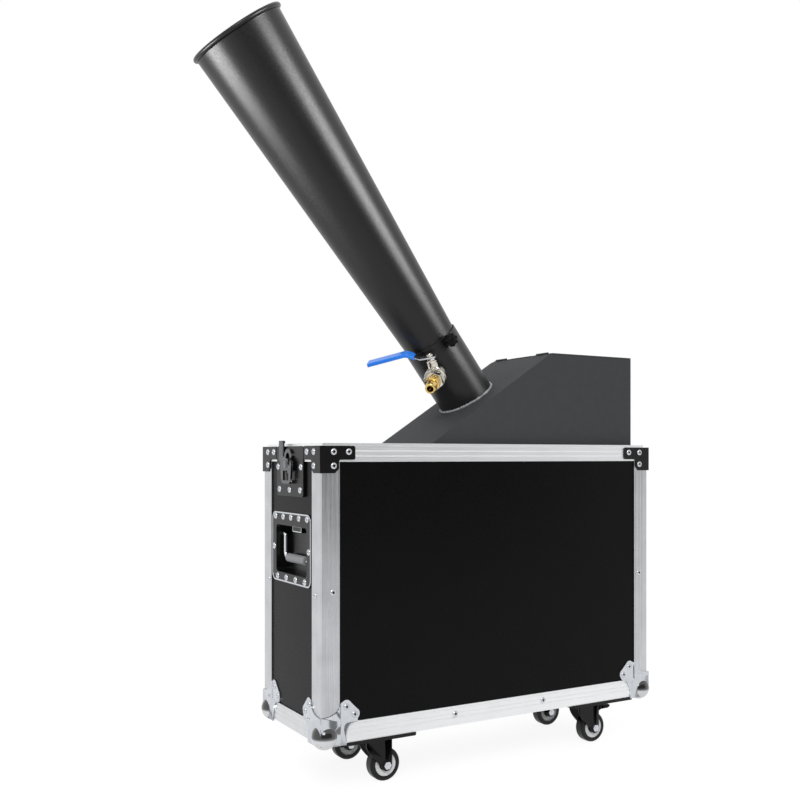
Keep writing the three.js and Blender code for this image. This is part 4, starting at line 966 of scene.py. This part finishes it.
spindle = turned("spindle", [
    (0, KEY_OUTER - 0.8), (6.2, KEY_OUTER - 0.8), (7, KEY_OUTER), (7, HOOK_BACK), (0, HOOK_BACK)], 40)
moved(spindle, in_mm((0, SPINDLE, 0)))
butterfly = [(-11, 10), *bow((-16, 6), (-20, 4), (-20, -1), 4), (-17.5, -21.5),
             *bow((-17.5, -21.5), (-15, -29), (-10, -29), 6), *bow((10, -29), (15, -29), (17.5, -21.5), 6),
             *bow((20, -1), (20, 4), (16, 6), 4), (11, 10)]
loop = [(-10, -9.5), (-10, -24), (10, -24), (10, -9.5)]
blade = plate("blade", shifted(butterfly, SPINDLE), KEY_OUTER, KEY_OUTER + LATCH_PLATE)
pierced(blade, plate("loop", shifted(loop, SPINDLE), KEY_OUTER - 2, KEY_OUTER + 5))
eased(blade, 0.6, 3)
key = eased(welded(blade, spindle), 0)
latch_rivets = [((x, 360, OUT), OUTWARDS) for x in (-38, 0, 38)]
latch_rivets += [((x, 394, OUT), OUTWARDS) for x in (-41, 43.5)]
for end, place in ENDS.items():
    wall_frame = place @ FACING
    softened(f"{end}_latch_plate", 0.35, "root", *COATED)
    for part, kind in ((hook, "hook"), (key, "key")):
        set_out(part, f"{end}_{kind}_piece", wall_frame, f"{end}_{kind}", "black_steel", black_nickel,
                f"{end}_latch_{kind}")
    row_of(rivet, f"{end}_latch_rivets", latch_rivets, wall_frame)
dropped(hook, key)
print("latch rivets:", len(latch_rivets))

# %% [markdown]
# A swivel castor is a bolted plate with a ball race, a pressed fork and a wheel. The wheel is three
# pieces that one sees apart by colour: a black tyre, a light ring and a black hub with its bolt.

# %% Castor plates and forks
PLATE_TOP = CASTER_HEIGHT - 0.3
RACE_TOP = PLATE_TOP - 5.5
FORK_SHEET = 3
CROWN_TOP = RACE_TOP - 3 - 0.3
CROWN_FOOT = CROWN_TOP - FORK_SHEET
KINGPIN_HOLE = 5.3
TRAIL = 17.5  # the wheel's centre lies this far behind the swivel axis
WHEEL_RADIUS = 25
WHEEL = (TRAIL, 0, WHEEL_RADIUS)
CHEEK = 9 + 1.5
CHEEK_OUTER = CHEEK + 2.5
CHEEK_END = (-17, TRAIL + 9)
PLATE_SHIFT = 12  # the plate reaches further towards the case's end
PEDAL_PIN = (20, 58)
mount = moved(plate("mount", rounded(132, 84, 6), RACE_TOP, PLATE_TOP), in_mm((-PLATE_SHIFT, 0, 0)))
race_profile = [(KINGPIN_HOLE, RACE_TOP - 3), (20.5, RACE_TOP - 3), (22, RACE_TOP - 1.5),
                (22, RACE_TOP + 1), (KINGPIN_HOLE, RACE_TOP + 1)]
welded(mount, turned("race", race_profile, 48, closed=True))
bolts = [(x - PLATE_SHIFT, y) for x in (-54, 54) for y in (-31, 31)]
slots = [plate("bore", shifted(rounded(12, 7, 3.4), y, x), RACE_TOP - 1, PLATE_TOP - 1) for x, y in bolts]
pierced(mount, round_bar("bore", KINGPIN_HOLE, 0, PLATE_TOP - 1.5), *slots)
eased(mount, 0.4)
bolt_places = [((x, y, RACE_TOP), in_mm((0, 0, 0), 180, "X")) for x, y in bolts]

cheek_outline = [
    (CHEEK_END[0], CROWN_TOP - 1), (CHEEK_END[0], CROWN_TOP - 12),
    *bow((CHEEK_END[0], CROWN_TOP - 12), (-14, 44), (8.5, WHEEL_RADIUS), 5),
    *arc(TRAIL, WHEEL_RADIUS, 9, 180, 360, 12), (CHEEK_END[1], CROWN_TOP - 1)]


def fork(braked):
    """The pressed fork about its swivel axis, with its kingpin and, if braked, the pedal's pin."""
    near = moved(plate("near", cheek_outline, CHEEK, CHEEK_OUTER), SIDEWAYS)
    far = moved(plate("far", cheek_outline, -CHEEK_OUTER, -CHEEK), SIDEWAYS)
    crown = block("crown", (CHEEK_END[0], -CHEEK_OUTER, CROWN_FOOT), (CHEEK_END[1], CHEEK_OUTER, CROWN_TOP))
    disc = round_bar("disc", 20, CROWN_FOOT, CROWN_TOP, 48)
    kingpin = round_bar("kingpin", 5, CROWN_FOOT, RACE_TOP)
    whole = welded(near, far, crown, disc, kingpin)
    for low, high in ((-14, -12.5), (12.5, 14)):
        welded(whole, block("rib", (15.5, low, 34), (19.5, high, CROWN_TOP - 4)))
    if braked:
        pin = round_bar("pin", 2, -CHEEK - 1, CHEEK + 1, 20)
        welded(whole, moved(pin, in_mm((PEDAL_PIN[0], 0, PEDAL_PIN[1])) @ FRONT))
    return eased(whole, 0.6)


casters = {"left": fork(False), "right": fork(True)}
measured("castor plate", mount)

# %% [markdown]
# Wheel and axle are turned pieces on the wheel's own axis. The axle is a bolt with a hexagon at each
# end, and the tips of its shank show beyond them. The pedal's side outline is extruded across.

# %% Axles, wheels and pedals
HEAD_HEIGHT = 3.6
axle = round_bar("axle", 4, -CHEEK_OUTER, CHEEK_OUTER)
heads = [plate("head", hexagon(6.3), low, low + HEAD_HEIGHT) for low in (13.2, -16.8)]
tips = [turned("tip", [(0, low), (3.4, low), (3.4, low + 1.8), (2.4, low + 2.6), (0, low + 2.6)], 20)
        for low in (14.4, -17)]
axle = moved(eased(gathered("axle", [axle, *heads, *tips]), 0.3), in_mm(WHEEL) @ FRONT)
tread = arc(21.5, 5.5, 3.5, 90, 0, 6) + arc(21.5, -5.5, 3.5, 0, -90, 6)


def mirrored(profile):
    """A wheel's profile from its near side on to its far side."""
    return profile + [(radius, -height) for radius, height in profile[::-1]]


tyre = turned("tyre", [(16.8, 8.2), (18.2, 9), *tread, (18.2, -9), (16.8, -8.2)], 64, closed=True)
ring_profile = mirrored([(9.2, 6.2), (10.2, 6.9), (15.6, 7.2), (17.2, 8.5), (17.5, 8.5)])
ring = turned("ring", ring_profile, 64, closed=True)
hub = turned("hub", mirrored([(4.3, 9), (7.6, 9), (8.5, 8.2), (9.5, 6.4)]), 48, closed=True)
for part in (tyre, ring, hub):
    moved(eased(part, 0), in_mm(WHEEL) @ FRONT)

pedal_outline = [
    *arc(*PEDAL_PIN, 4.5, 200, 90, 6), *bow((24.5, 62.5), (38, 60.5), (51.5, 59.5), 6),
    *arc(54, 57.2, 2.1, 70, -80, 5), (51.5, 53.5), *bow((40, 53.5), (35, 53.5), (33, 51.6), 4),
    (30, 51), (27.8, 51), (15.5, 55.75)]
pedal = plate("pedal", pedal_outline, -7.5, 7.5)
for place in (PEDAL_PIN, (32.24, 56.5), (40.16, 56.5)):
    pierced(pedal, plate("hole", arc(*place, 2.3, 0, 337.5, 15), -9, 9))
moved(eased(pedal, 0.8, 3), SIDEWAYS)

for side, y in (("front", -60), ("back", 60)):
    for end, x, turn in (("left", 107, 0), ("right", 513, 180)):
        name = f"{side}_{end}"
        place = frame_at((case_left + x, y, 0))
        outwards = frame_at((case_left + x, y, 0), turn)
        swivel, wheel = f"{name}_swivel", f"{name}_wheel"
        solid = f"{name}_caster"
        set_out(mount, f"{name}_mount", outwards, "root", *COATED, f"{solid}_plate")
        row_of(screw, f"{name}_mount_screws", bolt_places, outwards)
        set_out(casters[end], f"{name}_fork", place, swivel, *COATED, f"{solid}_fork")
        set_out(axle, f"{name}_axle", place, swivel, *PLATED)
        set_out(tyre, f"{name}_tyre", place, wheel, "castor_rubber", tyre_rubber, f"{solid}_wheel")
        set_out(ring, f"{name}_ring", place, wheel, "castor_rubber", grey_nylon)
        set_out(hub, f"{name}_hub", place, wheel, "castor_rubber", black_plastic)
        if end == "right":
            set_out(pedal, f"{name}_foot_pedal", place, f"{name}_pedal", "black_plastic", black_plastic,
                    f"{name}_brake_pedal")
measured("tyre", tyre)
dropped(mount, axle, tyre, ring, hub, pedal, *casters.values())

# %% [markdown]
# The clamping knob is a moulded star. Its outline has seven lobes, its face is raised and its edges
# are well rounded for the hand.

# %% Knob
LOBES = 7
KNOB_RADIUS = 9.7
LOBE_DEPTH = 1.3
KNOB_STEPS = 84
KNOB_FACE = COLLAR_OUTER + 4.5 + 0.3
KNOB_TOP = KNOB_FACE + 12.3
outline = []
for i in range(KNOB_STEPS):
    angle = 2 * math.pi * i / KNOB_STEPS
    radius = KNOB_RADIUS + LOBE_DEPTH * math.cos(LOBES * angle)
    outline.append((radius * math.cos(angle), radius * math.sin(angle)))
knob = eased(plate("knob", outline, KNOB_FACE, KNOB_FACE + 11), 1.2, 4)
cap = turned("cap", [
    (0, KNOB_TOP), (5.4, KNOB_TOP), (6.8, KNOB_FACE + 11.2), (7.1, KNOB_FACE + 10), (0, KNOB_FACE + 10)], 40)
stud = round_bar("stud", 3, COLLAR_OUTER - 0.5, KNOB_FACE + 5)
knob = gathered("knob", [knob, eased(cap, 0, angle=60), eased(stud, 0)])
measured("knob", knob)
moved(knob, in_mm((0, 0, KNOB_HEIGHT)) @ FRONT)
settled(knob, "star_knob", TUBE, "knob", "black_plastic", black_plastic, "locking_knob")

# %% [markdown]
# The ball valve is a nickel-plated forging with turned ends, a stem through a packing nut, and a bent
# strip lever whose grip was dipped in blue vinyl. Its frame has the pipe along X and the stem along Z.

# %% Valve body
NOZZLE = frame_at((0, 0, VALVE_HEIGHT), VALVE_SWING, "Z", TUBE)
VALVE = NOZZLE @ Matrix.Rotation(math.radians(-VALVE_TILT), 4, "X")
ALONG = in_mm((0, 0, 0), 90, "Y")  # from a turning about Z to one about X
STEM = in_mm((62, 0, 0))  # the stem crosses the pipe here
PIPE_BORE = 7
SHAFT_HOLE = 3.3
GLAND_TURN = 7  # a nut stops where it is tight, not in line with the rest
neck = eased(plate("neck", hexagon(14), 46.4, 54.5), 0.5)
bell_profile = [
    (0, 53), (13.4, 53), (14.6, 54), (14.6, 56), (15.8, 57), (17, 59.5), (17, 67.5), (16.3, 68.2),
    (16.3, 69.4), (17, 70.2), (17, 73.6), (16.2, 75), (14.8, 75), (14.8, 77), (0, 77)]
bell = eased(turned("bell", bell_profile, 64), 0, angle=30)
wide_hex = eased(plate("hex", hexagon(16), 75.8, 87), 0.6)
valve = moved(welded(neck, bell, wide_hex), ALONG)
bonnet_profile = [(0, 0), (8, 0), (8, 22.5), (7.2, 23), (7.2, 24), (8, 24.5), (8, 26.5), (7.5, 27), (0, 27)]
bonnet = eased(turned("bonnet", bonnet_profile, 48), 0, angle=30)
gland = eased(plate("gland", hexagon(6.4, GLAND_TURN), 26.4, 31.2), 0.4)
for part in (bonnet, gland):
    welded(valve, moved(part, STEM))
pierced(valve,
        moved(round_bar("flow", PIPE_BORE, 44, 85, 32), ALONG),
        moved(round_bar("inlet", 9.3, 80, 89, 36), ALONG),
        moved(ball("chamber", 11.3, (0, 0, 0), 32), STEM @ in_mm((0, 0, 0), 10, "X")),
        moved(round_bar("hole", SHAFT_HOLE, 0, 34), STEM))
settled(eased(valve, 0), "valve_forging", VALVE, "root", "nickel_plate", nickel, "valve_body")

valve_ball = ball("ball", 10.4, (0, 0, 0), 32)
pierced(valve_ball, moved(round_bar("port", PIPE_BORE, -21, 21, 32), FRONT))
shaft = turned("shaft", [(0, 8.4), (3, 8.4), (3, 37.9), (2.4, 38.6), (0, 38.6)], 24)
nut = eased(plate("nut", hexagon(5.6), 34.3, 37.9), 0.5)
stem = gathered("stem", [eased(welded(valve_ball, shaft), 0), nut])
settled(moved(stem, STEM), "valve_shaft", VALVE, "lever", "nickel_plate", nickel, "valve_stem")
print("valve:", len(valve.data.polygons), "faces in the forging")

# %% [markdown]
# The lever is a flat strip with two soft bends, drawn from the side and extruded to its width. The
# vinyl sleeve is a thicker strip along the same bends, hollowed where the lever lies in it.

# %% Lever and sleeve
LEVER_FOOT = 31.5
LEVER_SHEET = 2.5
LEVER_HALF = 6
FIT = 0.3  # the sleeve's hollow is this much larger than the lever
UPPER_BEND = bow((-31, 9.6), (-36, 13), (-42, 12.6), 6)


def lever_side(end, low, high):
    """The lever seen from the side, from its head to its end, between two heights above its foot."""
    line = [(9, 0), *bow((-14, 0), (-17, 0), (-19.5, 1.7), 4), *UPPER_BEND, (end, 9)]
    return shifted(line, LEVER_FOOT + low) + shifted(line[::-1], LEVER_FOOT + high)


lever = moved(plate("lever", lever_side(-100.4, 0, LEVER_SHEET), -LEVER_HALF, LEVER_HALF), FACING)
pierced(lever, round_bar("hole", SHAFT_HOLE, 0, 66))
eased(lever, 0.5)
measured("lever", lever)
settled(moved(lever, STEM), "lever_strip", VALVE, "lever", "bright_zinc", zinc, "valve_lever")
rise = [(-24, 4.8), *UPPER_BEND, (-102.3, 9)]
sleeve_side = shifted(rise, LEVER_FOOT - 1.75) + shifted(rise[::-1], LEVER_FOOT + 4.25)
sleeve = plate("sleeve", sleeve_side, -8, 8)
core = lever_side(-100.4 - FIT, -FIT, LEVER_SHEET + FIT)
pierced(sleeve, plate("core", core, -LEVER_HALF - FIT, LEVER_HALF + FIT))
eased(moved(sleeve, FACING), 1.2, 4, 50)
settled(moved(sleeve, STEM), "blue_sleeve", VALVE, "lever", "blue_dip", blue_dip, "lever_sleeve")

# %% [markdown]
# The gas hose screws on to a turned brass nipple. Behind the valve an elbow leads the gas to the
# barrel's axis: one bent rod, hollowed by a thinner one with the same bend.

# %% Nipple and nozzle
NIPPLE_BORE = 5.4
nipple_profile = [
    (NIPPLE_BORE, 80.3), (9, 80.3), (9, 96.3), (9, 104.5), (8.4, 105.6), (8.2, 106.5), (8.3, 112.6),
    (7.5, 113.5), (NIPPLE_BORE, 113.5)]
nipple = eased(turned("nipple", nipple_profile, 48, closed=True), 0, angle=30)
nipple_hex = eased(plate("hex", hexagon(12.3), 87.3, 96.3), 0.5)
pierced(nipple_hex, round_bar("bore", NIPPLE_BORE, 80, 110, 32))
nipple = moved(gathered("nipple", [nipple, nipple_hex]), ALONG)
settled(nipple, "gas_nipple", VALVE, "root", "yellow_brass", brass, "brass_nipple")

elbow = bent_rod("elbow", 6.5, [(44, -90, 8), (18, 0, 0)])
bore = bent_rod("bore", 4.5, [(46, -90, 8), (22, 0, 0)])
moved(elbow, in_mm((52, 0, 0), 180, "Z"))
moved(bore, in_mm((54, 0, 0), 180, "Z"))
settled(eased(pierced(elbow, bore), 0), "gas_jet", NOZZLE, "root", "yellow_brass", brass, "gas_nozzle")

# %% [markdown]
# The edges are riveted to the panels. The photograph shows rivets half way up the corner posts and
# along the bottom edges, and the hidden sides repeat them.

# %% Rivets along the edges
post_rivets = [((19.5, 0, 216.7), FRONT), ((0, 19.5, 211), LEFT)]
for name, place in CORNERS.items():
    row_of(rivet, f"{name}_post_rivets", post_rivets, place)
edge_rivets = [((x, -CASE_DEPTH / 2, 18), FRONT) for x in (226, 394)]
for name, place in (("front", ENDS["left"]), ("back", ENDS["right"])):
    row_of(rivet, f"{name}_edge_rivets", edge_rivets, place)
print("edge rivets:", len(CORNERS) * len(post_rivets) + 2 * len(edge_rivets))

# %% [markdown]
# The fasteners' drawings go last, once every fitting has its copies.

# %% Count the faces and finish
dropped(rivet, rivet_dimple_shade, screw)
clear()
total = sum(len(o.data.polygons) for o in bpy.data.objects if o.type == "MESH")
print("faces in all:", total)
